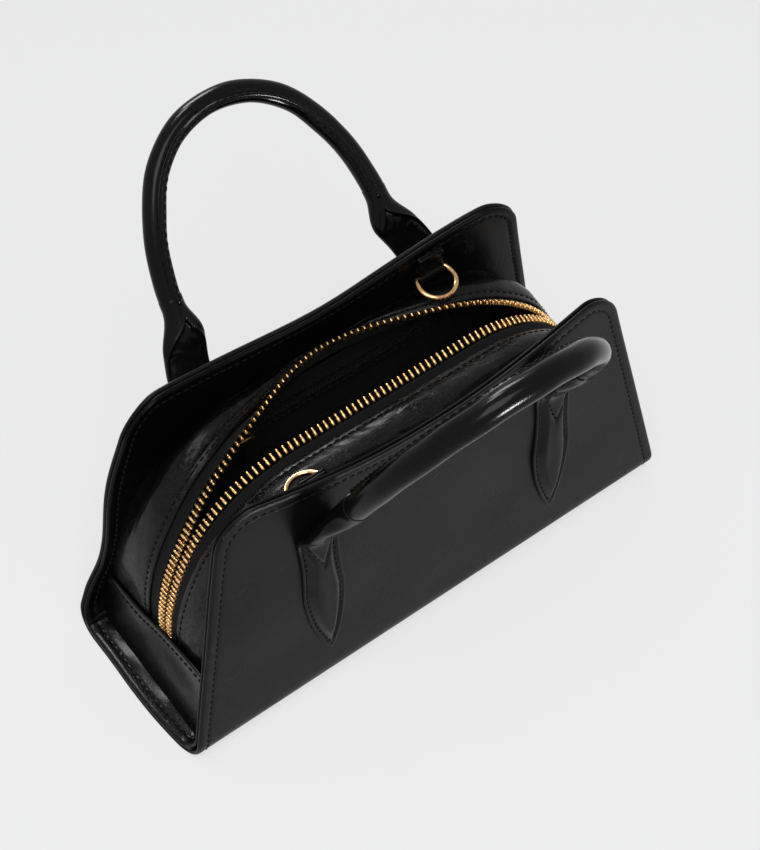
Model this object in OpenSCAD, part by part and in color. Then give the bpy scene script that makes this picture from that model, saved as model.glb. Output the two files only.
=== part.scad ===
// Top handle bag. A stiff leather shell of front, base and rear stands open at both ends.
// A zipped leather pouch with an arched mouth hangs inside it, closed at each end by a gusset.
// Two rolled handles are sewn to leaf shaped tabs, and two rings take a shoulder strap.
// Millimetres, +Z up. The front faces -Y. The origin is the middle of the base, on the ground.

/* [Shell] */
// Length of the base
base_length = 239; // [215:1:265]
// Depth of the base, from front to rear
base_depth = 87; // [84:1:100]
// Height of a panel up its slope, to the shoulder of its top edge
panel_height = 131; // [126:1:150]
// Lean of each panel towards the middle, in degrees
panel_lean = 5.5; // [3:0.5:6.5]
// How much shorter half of a panel is at its top than at its base
panel_taper = 30.5; // [20:0.5:32]
// Outer radius of the bend between the base and a panel
bend_radius = 12; // [8:0.5:13]
// Radius of a panel's top corners
corner_radius = 15; // [8:1:18]
// Dip in the middle of a panel's top edge
top_dip = 8; // [3:0.5:10]
// Outward swell of a panel in the middle of its top
panel_swell = 5.5; // [3:0.5:7]
// Bow of each end of the base
end_bow = 3.5; // [1:0.5:5]

/* [Layers] */
// Thickness of the outer leather
leather_thickness = 1.4; // [1:0.1:1.6]
// Thickness of the stiffening board
board_thickness = 1.2; // [0.8:0.1:1.4]
// Thickness of the inner facing leather
facing_thickness = 1.2; // [0.8:0.1:1.4]
// How far the board stops short of the shell's edges
board_inset = 3; // [2:0.5:4]
// Layer of glue between two sheets
glue_gap = 0.1; // [0.08:0.01:0.15]
// Thickness of the fabric lining
lining_thickness = 0.5; // [0.4:0.1:0.7]

/* [Pouch] */
// How far the zip's arch stops short of each end of the base
pouch_inset = 16.5; // [15:0.5:20]
// Height above the ground where the arch starts to bend
arch_base = 29; // [26:0.5:30]
// Rise of the arch above that height
arch_rise = 79.5; // [74:0.5:80.5]
// Radius of the arch's long side curves, along which the slider runs
side_radius = 101; // [90:1:110]
// Turn of each side curve, in degrees
side_turn = 33; // [28:1:36]
// Length of the straight lower end of the arch, tucked in behind the gusset
arch_tuck = 9; // [5:0.5:11]
// Width of tape and teeth from the middle of a row to the folded leather edge
tape_width = 10; // [8:0.5:11]
// How far the zip lies in front of the middle of the bag
zip_shift = 2; // [0:0.5:3]
// How far the open rear lip is pushed back in the middle
lip_bow = 25.5; // [20:0.5:26.5]
// Height of the soft crown of the pouch leather beside the zip
roof_crown = 5; // [3:0.5:6]
// Thickness of the pouch leather
roof_thickness = 1.2; // [0.9:0.1:1.4]
// Thickness of a gusset
gusset_thickness = 1.5; // [1:0.1:1.8]
// How much further out a gusset stands at its foot than at its top
gusset_lean = 5.9; // [3:0.1:7]

/* [Zip] */
// Distance from one tooth to the next
tooth_pitch = 2.65; // [2.4:0.05:3]
// Thickness of a tooth along the row
tooth_thickness = 1.35; // [1:0.05:1.5]
// Length of a tooth across the tape
tooth_length = 4.3; // [3.6:0.1:4.6]
// Height of a tooth through the tape
tooth_height = 2.4; // [2:0.1:2.8]
// Gap between the two rows where they lie side by side
row_gap = 1; // [0.9:0.1:1.6]
// Thickness of the woven tape
tape_thickness = 0.6; // [0.4:0.05:0.8]
// Length of the slider
slider_length = 13; // [10:0.5:15]
// Thickness of the slider's plates and flanges
slider_wall = 1.1; // [0.8:0.1:1.3]
// Running clearance between the slider and the teeth
slider_clearance = 0.35; // [0.3:0.05:0.5]
// Length of the puller
puller_length = 27; // [20:1:30]
// Width of the puller
puller_width = 6.5; // [5:0.5:8]

/* [Handles] */
// Distance of each tab from the middle of the bag
tab_place = 54; // [47:1:56]
// Width of a tab
tab_width = 19; // [16:0.5:22]
// Height of a tab's point up the panel's slope
tab_point = 26; // [20:1:34]
// Height of the handle's pivot up the panel's slope
pivot_height = 106; // [100:1:110]
// Thickness of a padded tab in its middle
tab_pad = 2.6; // [2.2:0.1:2.8]
// Radius of the rolled handle
tube_radius = 5.3; // [4.6:0.1:5.6]
// Radius of the rope inside the handle
rope_radius = 3.8; // [3:0.1:4]
// Half width of the handle's loop, to the middle of its tube
loop_half = 48.5; // [44:0.5:54]
// Height of the loop above its pivot, to the middle of its tube
loop_height = 94; // [85:1:110]
// Radius of the loop's crown
crown_radius = 39; // [30:1:40]
// Height above the pivot at which the rolled tube starts
neck_length = 20; // [16:1:24]
// Height above the pivot at which the tube starts to bend
leg_length = 27; // [25:1:32]
// Backward tilt of the rear handle, in degrees
rear_tilt = 39; // [30:1:50]
// Forward tilt of the front handle, in degrees
front_tilt = 27; // [15:1:35]

/* [Strap rings] */
// Distance of each ring from the middle of the bag
ring_place = 48.5; // [40:0.5:55]
// Radius of the ring, to the middle of its wire
ring_radius = 7.9; // [7.6:0.1:8.5]
// Radius of the ring's wire
ring_wire = 1.15; // [0.9:0.05:1.3]
// Height of the ring's bar above the ground
ring_height = 112.5; // [112:0.5:116]
// Width of the leather loop that holds a ring
loop_width = 12; // [10:0.5:12.5]
// Thickness of the loop's leather
loop_leather = 1.2; // [0.9:0.1:1.3]
// Downward slope of a ring at rest on the pouch, in degrees
ring_slope = 14; // [8:1:18]

/* [Pocket] */
// Length of the pocket's zip opening
pocket_length = 110; // [90:1:130]
// Height of the pocket's zip up the rear panel's slope
pocket_height = 84; // [78:1:86]
// Width of the frame around the pocket's zip
welt_width = 13; // [11:0.5:14]
// Depth of the pocket bag below its zip
pocket_drop = 50; // [40:1:60]
// Radius of the pocket's nylon coil
coil_radius = 1; // [0.8:0.1:1.2]

/* [Hidden] */
$fn = 48;

leather_black = [0.06, 0.06, 0.065];
facing_black = [0.09, 0.09, 0.095];
lining_black = [0.13, 0.12, 0.12];
tape_black = [0.10, 0.10, 0.11];
board_grey = [0.45, 0.42, 0.38];
rope_white = [0.85, 0.83, 0.78];
brass = [0.80, 0.62, 0.30];
pale_gold = [0.86, 0.70, 0.52];

// Free space between a soft sheet and the next piece
soft_gap = 0.25;
// Running space round a moving piece
run_gap = 0.3;
// Overrun of a cut past the face that it opens
cut_over = 1;
// Smallest width of a sheet that ends in a point
point_width = 0.8;

// Depth of each layer's two faces below the shell's outer surface
board_depth = leather_thickness + glue_gap;
facing_depth = board_depth + board_thickness + glue_gap;
shell_depth = facing_depth + facing_thickness;
lining_depth = shell_depth + soft_gap;
bag_room = 1.4;
rear_lining_depth = lining_depth + bag_room;

// The bend between base and panel, and where it ends on both
bend_turn = 90 + panel_lean;
bend_reach = bend_radius * tan(bend_turn / 2);
flat_half = base_depth / 2 - bend_reach;
base_half = base_length / 2;
// Half length of the zip's arch
arch_half = base_half - pouch_inset;

// Half length of a panel at a height up its slope
function half_at(height) = base_half - panel_taper * height / panel_height;
// Share of the swell at a height up the slope: none at the bend, all at the shoulder
swell_power_share = 1.5;
function swell_at(across, height) = panel_swell * (1 - across * across)
  * pow(max(0, (height - bend_reach) / (panel_height - bend_reach)), swell_power_share);

// A point of the rear panel: across in shares of its half length, height up its slope,
// depth below its outer surface. The front panel is its mirror image.
function slope_point(across, height, depth, inset = 0) =
  let (
    x = across * (half_at(height) - inset),
    out = swell_at(x / half_at(height), height) - depth
  ) [
    x,
    base_depth / 2 - height * sin(panel_lean) + out * cos(panel_lean),
    height * cos(panel_lean) + out * sin(panel_lean)
  ];
function wall_point(x, height, depth) = slope_point(x / half_at(height), height, depth);
// Places flat pieces on the rear panel's slope: X along it, -Y inwards, Z up it
module on_slope(depth) translate([0, base_depth / 2, 0]) rotate([panel_lean, 0, 0])
  translate([0, -depth, 0]) children();

// A point of the bend: share is 0 at the flat base and 1 where the panel starts
function bend_point(across, share, depth, inset = 0) = [
  across * (base_half + (half_at(bend_reach) - base_half) * share - inset),
  flat_half + (bend_radius - depth) * sin(bend_turn * share),
  bend_radius - (bend_radius - depth) * cos(bend_turn * share)
];

// Columns of a panel's grid as [across share, drop of the top edge]
top_half = half_at(panel_height);
corner_share = 1 - corner_radius / top_half;
flat_columns = 4;
corner_columns = 3;
dip_reach_share = 0.88;
dip_power_share = 1.3;
function dip_at(across) = top_dip
  * pow(max(0, 1 - pow(across / dip_reach_share, 2)), dip_power_share);
function corner_column(step) =
  let (turn = 90 * step / corner_columns)
  [corner_share + (1 - corner_share) * sin(turn), corner_radius * (1 - cos(turn))];
half_columns = concat(
  [for (step = [1:flat_columns]) [corner_share * step / flat_columns, 0]],
  [for (step = [1:corner_columns]) corner_column(step)]
);
columns = concat(
  [for (step = [len(half_columns) - 1:-1:0]) [-half_columns[step][0], half_columns[step][1]]],
  [[0, 0]],
  half_columns
);
function top_at(column) = panel_height - dip_at(column[0]) - column[1];

// Rows of a panel at one depth, from the flat base up, or from the end of the bend up
bend_rows = 4;
slope_rows = 5;
function panel_rows(depth, inset = 0, bend = true) = concat(
  bend ? [for (row = [0:bend_rows - 1]) [for (column = columns)
    bend_point(column[0], row / bend_rows, depth, inset)]] : [],
  [for (row = [0:slope_rows]) [for (column = columns)
    let (low = bend ? bend_reach : bend_reach + inset, high = top_at(column) - inset)
    slope_point(column[0], low + (high - low) * row / slope_rows, depth, inset)]]
);

// A closed sheet between two grids with the same rows and columns. Seen from outside,
// the rows run up and the columns run to the left.
module sheet(outer, inner) {
  rows = len(outer);
  across = len(outer[0]);
  count = rows * across;
  points = concat([for (row = outer) each row], [for (row = inner) each row]);
  function at(row, column, layer) = layer * count + row * across + column;
  skin = [for (row = [0:rows - 2], column = [0:across - 2]) each [
    [at(row, column, 0), at(row, column + 1, 0), at(row + 1, column + 1, 0)],
    [at(row, column, 0), at(row + 1, column + 1, 0), at(row + 1, column, 0)],
    [at(row, column, 1), at(row + 1, column + 1, 1), at(row, column + 1, 1)],
    [at(row, column, 1), at(row + 1, column, 1), at(row + 1, column + 1, 1)]
  ]];
  low_high = [for (column = [0:across - 2]) each [
    [at(0, column, 0), at(0, column + 1, 1), at(0, column + 1, 0)],
    [at(0, column, 0), at(0, column, 1), at(0, column + 1, 1)],
    [at(rows - 1, column, 0), at(rows - 1, column + 1, 1), at(rows - 1, column, 1)],
    [at(rows - 1, column, 0), at(rows - 1, column + 1, 0), at(rows - 1, column + 1, 1)]
  ]];
  ends = [for (row = [0:rows - 2]) each [
    [at(row, 0, 0), at(row + 1, 0, 1), at(row, 0, 1)],
    [at(row, 0, 0), at(row + 1, 0, 0), at(row + 1, 0, 1)],
    [at(row, across - 1, 0), at(row, across - 1, 1), at(row + 1, across - 1, 1)],
    [at(row, across - 1, 0), at(row + 1, across - 1, 1), at(row + 1, across - 1, 0)]
  ]];
  polyhedron(points, concat(skin, low_high, ends));
}

// A closed solid through rings of points, each ring going the same way round
module loft(rings) {
  turns = len(rings);
  around = len(rings[0]);
  points = [for (ring = rings) each ring];
  sides = [for (ring = [0:turns - 2], spot = [0:around - 1])
    let (next = (spot + 1) % around, low = ring * around, high = low + around)
    each [[low + spot, high + spot, high + next], [low + spot, high + next, low + next]]];
  first = [for (spot = [0:around - 1]) spot];
  last = [for (spot = [around - 1:-1:0]) (turns - 1) * around + spot];
  polyhedron(points, concat(sides, [first, last]));
}

// The same with a bore, between outer and inner rings of as many points
module hose(outer, inner) {
  turns = len(outer);
  around = len(outer[0]);
  count = turns * around;
  points = concat([for (ring = outer) each ring], [for (ring = inner) each ring]);
  sides = [for (ring = [0:turns - 2], spot = [0:around - 1])
    let (next = (spot + 1) % around, low = ring * around, high = low + around)
    each [
      [low + spot, high + spot, high + next], [low + spot, high + next, low + next],
      [count + low + spot, count + high + next, count + high + spot],
      [count + low + spot, count + low + next, count + high + next]
    ]];
  top = (turns - 1) * around;
  ends = [for (spot = [0:around - 1]) let (next = (spot + 1) % around) each [
    [spot, next, count + next], [spot, count + next, count + spot],
    [top + spot, top + count + next, top + next], [top + spot, top + count + spot, top + count + next]
  ]];
  polyhedron(points, concat(sides, ends));
}

// Unit vector, and the surface normals of a grid, pointing out of a sheet's outer side
function unit(vector) = vector / norm(vector);
function normals(grid) =
  let (rows = len(grid) - 1, across = len(grid[0]) - 1)
  [for (row = [0:rows]) [for (column = [0:across])
    let (
      run = grid[row][min(across, column + 1)] - grid[row][max(0, column - 1)],
      rise = grid[min(rows, row + 1)][column] - grid[max(0, row - 1)][column]
    ) unit(cross(rise, run))]];
// A grid moved out along its own normals
function moved(grid, distance) =
  let (out = normals(grid))
  [for (row = [0:len(grid) - 1]) [for (column = [0:len(grid[0]) - 1])
    grid[row][column] + out[row][column] * distance]];

// Shell
module rear_wrap(shallow, deep, inset = 0, bend = true)
  sheet(panel_rows(shallow, inset, bend), panel_rows(deep, inset, bend));

module base_sheet(low, thickness, inset, half) {
  bow_steps = 6;
  bow = [for (step = [-bow_steps:bow_steps]) let (share = step / bow_steps)
    [base_half - inset + end_bow * (1 - share * share), share * half]];
  translate([0, 0, low]) linear_extrude(thickness)
    polygon(concat(bow, [for (spot = bow) -spot]));
}

module front_panel() color(leather_black) mirror([0, 1, 0]) rear_wrap(0, leather_thickness);
module rear_panel() color(leather_black) rear_wrap(0, leather_thickness);
module base_panel() color(leather_black) base_sheet(0, leather_thickness, 0, flat_half);
module board() rear_wrap(board_depth, board_depth + board_thickness, board_inset, false);
module front_board() color(board_grey) mirror([0, 1, 0]) board();
module rear_board() color(board_grey) board();
module base_board() color(board_grey)
  base_sheet(board_depth, board_thickness, board_inset, flat_half - board_inset);
module front_facing() color(facing_black) mirror([0, 1, 0]) rear_wrap(facing_depth, shell_depth);
module rear_facing() color(facing_black) rear_wrap(facing_depth, shell_depth);
module base_facing() color(facing_black)
  base_sheet(facing_depth, facing_thickness, 0, flat_half);

// Inner face of the shell in depth, at a height above the ground
inner_radius = bend_radius - shell_depth;
function inner_depth(z) = z < bend_radius + inner_radius * sin(panel_lean)
  ? flat_half + sqrt(max(0, pow(inner_radius, 2) - pow(bend_radius - z, 2)))
  : base_depth / 2 - z * tan(panel_lean) - shell_depth / cos(panel_lean);

// Depth of the pouch leather's outer face over the middle of the tape
lip_depth = tape_thickness / 2 + glue_gap + roof_thickness;

// Gussets. The top edge is lowest at the rear and rises to the front, given as
// shares of the depth from rear to front and of the pouch's height.
gusset_top_shares = [
  [1, 0.19], [0.6, 0.205], [0.3, 0.225], [0, 0.27], [-0.35, 0.31], [-0.7, 0.34], [-1, 0.35]
];
gusset_high = arch_half + lip_depth + 2 * soft_gap + gusset_thickness;
gusset_hollow_share = 0.12;
gusset_rows = 5;
// Rises are bunched towards the floor, where the shell's bend is tight
gusset_rise_power_share = 1.5;
function gusset_point(spot, rise, out) =
  let (
    floor_z = shell_depth + 2 * soft_gap,
    top = spot[1] * (arch_base + arch_rise),
    z = floor_z + (top - floor_z) * rise,
    lean = gusset_lean * (1 - rise - gusset_hollow_share * sin(180 * rise)),
    reach = inner_depth(z) - soft_gap * (2 - rise)
  ) [-(gusset_high + lean) + gusset_thickness * (1 - out), spot[0] * reach, z];
function gusset_rows_at(out) = [for (row = [0:gusset_rows])
  [for (spot = [len(gusset_top_shares) - 1:-1:0])
    gusset_point(gusset_top_shares[spot], pow(row / gusset_rows, gusset_rise_power_share), out)]];
module gusset() sheet(gusset_rows_at(1), gusset_rows_at(0));
module left_gusset() color(leather_black) gusset();
module right_gusset() color(leather_black) mirror([1, 0, 0]) gusset();

// An arch in the XZ plane: [half length, base height, rise, side radius, side turn, tuck].
// It climbs straight, bends in along a long side curve and a short shoulder, and runs flat.
zip_arch = [arch_half, arch_base, arch_rise, side_radius, side_turn, arch_tuck];
crease_arch_base = arch_base - arch_tuck / 2;
crease_top_share = 0.945;
crease_arch = [
  arch_half + lip_depth + soft_gap, crease_arch_base,
  (arch_base + arch_rise) * crease_top_share - crease_arch_base, side_radius, side_turn, arch_tuck / 2
];
function shoulder(arch) = (arch[2] - arch[3] * sin(arch[4])) / (1 - sin(arch[4]));
function level(arch) = arch[0] - arch[3] * (1 - cos(arch[4])) - shoulder(arch) * cos(arch[4]);
function arc_length(radius, turn) = radius * turn * PI / 180;
function arc_turn(radius, length) = length / radius * 180 / PI;
function half_length(arch) = level(arch) + arc_length(shoulder(arch), 90 - arch[4])
  + arc_length(arch[3], arch[4]) + arch[5];
// [x, z, climb] at a length from the top of the arch, on its right hand half.
// Climb is the angle between the arch and the upright.
function arch_half_at(arch, length) =
  let (
    short = shoulder(arch),
    past_level = length - level(arch),
    past_shoulder = past_level - arc_length(short, 90 - arch[4]),
    past_side = past_shoulder - arc_length(arch[3], arch[4])
  )
  past_level < 0 ? [length, arch[1] + arch[2], 90]
  : past_shoulder < 0 ?
    let (climb = 90 - arc_turn(short, past_level))
    [level(arch) + short * cos(climb), arch[1] + arch[2] - short * (1 - sin(climb)), climb]
  : past_side < 0 ?
    let (climb = arch[4] - arc_turn(arch[3], past_shoulder))
    [arch[0] - arch[3] * (1 - cos(climb)), arch[1] + arch[3] * sin(climb), climb]
  : [arch[0], arch[1] - past_side, 0];
// The same along the whole arch: share is -1 at the left end and 1 at the right end
function arch_at(arch, share) =
  let (spot = arch_half_at(arch, abs(share) * half_length(arch)), side = share < 0 ? -1 : 1)
  [side * spot[0], spot[1], side * spot[2]];

// Lips. A side is 0 at the rear and 1 at the front, which is drawn as a mirror image.
row_reach = (tooth_length + row_gap) / 2;
bow_centre_share = -0.055;
bow_left_share = 0.3;
bow_right_share = 0.42;
bow_end_power_share = 12;
// The bow fades out before the side curves, where the slider runs
bow_reach = arch_half - side_radius * (1 - cos(side_turn));
function bow_at(x) =
  let (off = x / arch_half - bow_centre_share, spread = off < 0 ? bow_left_share : bow_right_share)
  exp(-pow(off / spread, 2) / 2) * max(0, 1 - pow(abs(x) / bow_reach, bow_end_power_share));
function lip_bow_at(x, side) = side == 1 ? 0 : bow_at(x);
// Middle of a row of teeth, with the outward direction of the arch and the fall of the tape
function row_point(share, side) =
  let (spot = arch_at(zip_arch, share), bow = lip_bow_at(spot[0], side))
  [spot[0], row_reach + (side == 1 ? 1 : -1) * zip_shift + lip_bow * bow, spot[1]];
function outward(share) = let (climb = abs(arch_at(zip_arch, share)[2]))
  [(share < 0 ? -1 : 1) * cos(climb), 0, sin(climb)];
tape_fall = 28;
bow_fall = 47;
function fall_at(share, side) =
  let (spot = arch_at(zip_arch, share))
  tape_fall * max(0, (abs(spot[2]) - side_turn) / (90 - side_turn))
    + bow_fall * lip_bow_at(spot[0], side);
// Direction from a row to its leather edge, and the tape's outward normal
function tape_way(share, side) =
  let (fall = fall_at(share, side)) [0, cos(fall), 0] - outward(share) * sin(fall);
function tape_out(share, side) =
  let (fall = fall_at(share, side)) [0, sin(fall), 0] + outward(share) * cos(fall);
function lip_point(share, side) = row_point(share, side)
  + tape_way(share, side) * tape_width + tape_out(share, side) * lip_depth;

// Pouch leather, from its crease on the facing to its folded edge beside the tape
roof_columns = 32;
roof_rows = 6;
valley_share = 0.45;
bow_calm_share = 0.8;
// Rises are bunched towards the crease, where the leather bends most
rise_power_share = 1.2;
function crease_point(share, bow) =
  let (spot = arch_at(crease_arch, share))
  wall_point(spot[0], spot[1] / cos(panel_lean), shell_depth + soft_gap + roof_thickness * bow);
function roof_point(share, rise, side) =
  let (
    bow = lip_bow_at(arch_at(zip_arch, share)[0], side),
    far = crease_point(share, bow),
    near = lip_point(share, side),
    crown = roof_crown * (sin(180 * rise) - valley_share * sin(180 * pow(1 - rise, 3)))
  ) far + (near - far) * rise + outward(share) * crown * outward(share)[2] * (1 - bow_calm_share * bow);
function roof_grid(side) = [for (row = [0:roof_rows]) [for (column = [0:roof_columns])
  roof_point(2 * column / roof_columns - 1, pow(row / roof_rows, rise_power_share), side)]];
module roof(side) {
  outer = roof_grid(side);
  sheet(outer, moved(outer, -roof_thickness));
}
module front_roof() color(leather_black) mirror([0, 1, 0]) roof(1);
module rear_roof() color(leather_black) roof(0);

// Zip tapes, from inside the teeth to a little under the leather
tape_lap = 2.5;
tape_reach_rows = 2;
function tape_grid(side, lift) = [for (row = [0:tape_reach_rows]) [for (column = [0:roof_columns])
  let (
    share = 2 * column / roof_columns - 1,
    start = tooth_length / 2 + 2 * soft_gap,
    reach = start + (tape_width + tape_lap - start) * (1 - row / tape_reach_rows)
  ) row_point(share, side) + tape_way(share, side) * reach + tape_out(share, side) * lift]];
module zip_tape(side) sheet(tape_grid(side, tape_thickness / 2), tape_grid(side, -tape_thickness / 2));
module front_zip_tape() color(tape_black) mirror([0, 1, 0]) zip_tape(1);
module rear_zip_tape() color(tape_black) zip_tape(0);

// Zip teeth. Each is a small bar with a narrower head towards the other row.
teeth_count = floor((2 * half_length(zip_arch) - arch_tuck) / tooth_pitch);
head_share = 0.3;
head_width_share = 0.66;
module tooth() {
  half = tooth_length / 2;
  neck = -half + tooth_length * head_share;
  broad = tooth_thickness / 2;
  narrow = broad * head_width_share;
  translate([0, 0, -tooth_height / 2]) linear_extrude(tooth_height) polygon([
    [-narrow, -half], [narrow, -half], [broad, neck], [broad, half], [-broad, half], [-broad, neck]
  ]);
}
// A tooth's own axes on its row: along the row, towards the tape and out
module on_row(share, side) {
  place = row_point(share, side);
  way = tape_way(share, side);
  out = tape_out(share, side);
  along = cross(way, out);
  multmatrix([
    [along[0], way[0], out[0], place[0]],
    [along[1], way[1], out[1], place[1]],
    [along[2], way[2], out[2], place[2]],
    [0, 0, 0, 1]
  ]) children();
}
module teeth(side) {
  shift = side * tooth_pitch / 2;
  for (count = [0:teeth_count - 1])
    let (length = (count - (teeth_count - 1) / 2) * tooth_pitch + shift - tooth_pitch / 4)
      on_row(length / half_length(zip_arch), side) tooth();
}
module front_zip_teeth() color(brass) mirror([0, 1, 0]) teeth(1);
module rear_zip_teeth() color(brass) teeth(0);

// A box joins both rows at the right hand end, and a small one ends each row at the left
stop_length = 3;
module zip_stops() color(brass) {
  low = arch_base - arch_tuck;
  side_reach = 2 * row_reach - row_gap / 2;
  translate([arch_half - tooth_height / 2, -zip_shift - side_reach, low])
    cube([tooth_height, 2 * side_reach, stop_length]);
  for (side = [-1, 1])
    translate([-arch_half, -zip_shift + side * row_reach, low + stop_length / 2])
      cube([tooth_height, tooth_length, stop_length], center = true);
}

// Linings. Flat sheets of fabric hang inside the pouch.
lining_clear = 4;
lining_half = arch_half - lining_clear;
lining_steps = 12;
lining_side_power_share = 3.6;
lining_top_power_share = 0.5;
function lining_top(x) =
  let (fall_share = pow(1 - pow(abs(x) / crease_arch[0], lining_side_power_share),
    lining_top_power_share))
  crease_arch[1] + crease_arch[2] * fall_share - lining_clear - roof_crown * valley_share;
module lining(depth) on_slope(depth) rotate([90, 0, 0]) linear_extrude(lining_thickness)
  polygon(concat(
    [[lining_half, bend_reach], [-lining_half, bend_reach]],
    [for (step = [-lining_steps:lining_steps])
      let (x = lining_half * step / lining_steps) [x, lining_top(x)]]
  ));
base_lining_low = shell_depth + glue_gap;
side_lining_share = 0.12;
side_lining_top = arch_base + arch_rise * side_lining_share;
side_lining_place = arch_half - roof_thickness - lining_clear;
module front_lining() color(lining_black) mirror([0, 1, 0]) lining(lining_depth);
module rear_lining() color(lining_black) difference() {
  lining(rear_lining_depth);
  on_slope(rear_lining_depth) translate([-pocket_length / 2, -lining_thickness - cut_over,
    pocket_height - pocket_slot / 2])
    cube([pocket_length, lining_thickness + 2 * cut_over, pocket_slot]);
}
module base_lining() color(lining_black) translate([-lining_half, -flat_half, base_lining_low])
  cube([2 * lining_half, 2 * flat_half, lining_thickness]);
module side_lining() {
  low = bend_radius;
  function wall(z, depth) = base_depth / 2 - z * tan(panel_lean)
    - (depth + lining_thickness + soft_gap) / cos(panel_lean);
  translate([side_lining_place - lining_thickness, 0, 0])
    rotate([90, 0, 90]) linear_extrude(lining_thickness) polygon([
      [-wall(low, lining_depth), low], [wall(low, rear_lining_depth), low],
      [wall(side_lining_top, rear_lining_depth), side_lining_top],
      [-wall(side_lining_top, lining_depth), side_lining_top]
    ]);
}
module side_linings() color(lining_black) both_sides() side_lining();

// Inner pocket on the rear lining, with a nylon coil zip in a frame
pocket_slot = 6;
pocket_tape_thickness = 0.4;
welt_thickness = 0.5;
pocket_face = rear_lining_depth + lining_thickness + glue_gap;
welt_face = pocket_face + pocket_tape_thickness + glue_gap;
pocket_bag_margin = 6;
module on_pocket(depth) on_slope(depth) translate([0, 0, pocket_height]) children();
module strip(length, thickness, low, high)
  translate([-length / 2, -thickness, low]) cube([length, thickness, high - low]);
module pocket_bag() color(lining_black)
  on_pocket(lining_depth + glue_gap)
    strip(pocket_length + 2 * pocket_bag_margin, bag_room - 2 * glue_gap, -pocket_drop, pocket_slot);
module pocket_welt() color(lining_black) on_pocket(welt_face) difference() {
  strip(pocket_length + welt_width, welt_thickness, -welt_width / 2, welt_width / 2);
  translate([0, cut_over, 0])
    strip(pocket_length, welt_thickness + 2 * cut_over, -pocket_slot / 2, pocket_slot / 2);
}
module pocket_tape() color(tape_black) on_pocket(pocket_face)
  strip(pocket_length + welt_width / 2, pocket_tape_thickness, -pocket_slot, pocket_slot);
module pocket_coil() color(tape_black) on_pocket(welt_face + coil_radius)
  translate([-pocket_length / 2 + glue_gap, 0, 0]) rotate([0, 90, 0])
    cylinder(r = coil_radius, h = pocket_length - 2 * glue_gap);
slip_top = 62;
slip_low = 22;
slip_half = 34;
module slip_pocket() color(lining_black) on_slope(pocket_face)
  strip(2 * slip_half, lining_thickness, slip_low, slip_top);

// The pocket's slider straddles the coil, and its puller hangs on a pin between two ears
pocket_slider_length = 8;
pocket_slider_half = pocket_slot / 2 - run_gap;
pocket_slider_wall = 1;
pocket_slider_start = 6;
pocket_pin = 0.6;
pocket_pin_gap = 0.1;
pocket_eye = 1.2;
ear_thickness = 0.9;
ear_rise = 2.6;
pocket_puller_length = 16;
pocket_puller_width = 3.4;
pocket_puller_thickness = 1;
module on_pocket_slider() on_pocket(welt_face + coil_radius)
  translate([pocket_slider_start - pocket_length / 2 + pocket_slider_length / 2, 0, 0]) children();
pocket_slider_face = coil_radius + run_gap + pocket_slider_wall;
pocket_pin_place = pocket_slider_face + ear_rise / 2;
module pocket_slider() color(brass) on_pocket_slider() {
  half = pocket_slider_length / 2;
  channel = coil_radius + run_gap;
  difference() {
    translate([-half, -pocket_slider_face, -pocket_slider_half])
      cube([2 * half, pocket_slider_face + coil_radius - run_gap, 2 * pocket_slider_half]);
    translate([-half - cut_over, 0, 0]) rotate([0, 90, 0])
      cylinder(r = channel, h = 2 * half + 2 * cut_over);
    translate([-half - cut_over, 0, -channel])
      cube([2 * half + 2 * cut_over, coil_radius + cut_over, 2 * channel]);
  }
  both_sides() translate([half - ear_thickness, -pocket_slider_face - ear_rise, -pocket_eye])
    cube([ear_thickness, ear_rise, 2 * pocket_eye]);
  translate([-half, -pocket_pin_place, 0]) rotate([0, 90, 0])
    cylinder(r = pocket_pin, h = 2 * half);
}
module pocket_puller() color(brass) on_pocket_slider() translate([0, -pocket_pin_place, 0]) {
  half = pocket_puller_width / 2;
  difference() {
    union() {
      translate([-half, 0, 0]) rotate([0, 90, 0]) cylinder(r = pocket_eye, h = 2 * half);
      translate([-half, -pocket_puller_thickness / 2, -pocket_puller_length])
        cube([2 * half, pocket_puller_thickness, pocket_puller_length]);
    }
    translate([-half - cut_over, 0, 0]) rotate([0, 90, 0])
      cylinder(r = pocket_pin + pocket_pin_gap, h = 2 * half + 2 * cut_over);
  }
}

module both_sides() {
  children();
  mirror([1, 0, 0]) children();
}

// Handle tabs. The leather is domed over a filler, and its outline is a leaf.
tab_edge = 1.2;
tab_top = pivot_height - point_width;
tab_columns = 6;
tab_rows = 10;
leaf_share = 0.5;
leaf_power_share = 0.75;
waist_share = 0.12;
tip_inset_share = 2;
function leaf_half(rise) = point_width / 2 + (tab_width / 2 - point_width / 2)
  * pow(sin(90 * min(1, rise / leaf_share)), leaf_power_share)
  * (1 - waist_share * sin(180 * max(0, rise - leaf_share) / (1 - leaf_share)));
dome_end_share = 0.17;
function dome(across, rise) = (1 - across * across) * min(1, rise / dome_end_share);
function tab_grid(low, high, inset) = [for (row = [0:tab_rows]) [for (column = [0:tab_columns])
  let (
    across = 2 * column / tab_columns - 1,
    rise = row / tab_rows,
    bottom = tab_point + inset * tip_inset_share,
    height = bottom + (tab_top - inset - bottom) * rise,
    lift = low + (high - low) * dome(across, rise)
  ) wall_point(tab_place + across * max(point_width / 2, leaf_half(rise) - inset), height, -lift)]];
tab_seat = glue_gap;
filler_edge = 0.3;
filler_inset = 2;
module tab_leather() sheet(tab_grid(tab_edge, tab_pad, 0), tab_grid(tab_seat, tab_pad - tab_edge, 0));
module tab_filler() sheet(
  tab_grid(filler_edge, tab_pad - tab_edge - filler_edge, filler_inset),
  tab_grid(tab_seat, tab_seat, filler_inset)
);
module front_tabs() color(leather_black) mirror([0, 1, 0]) both_sides() tab_leather();
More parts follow.
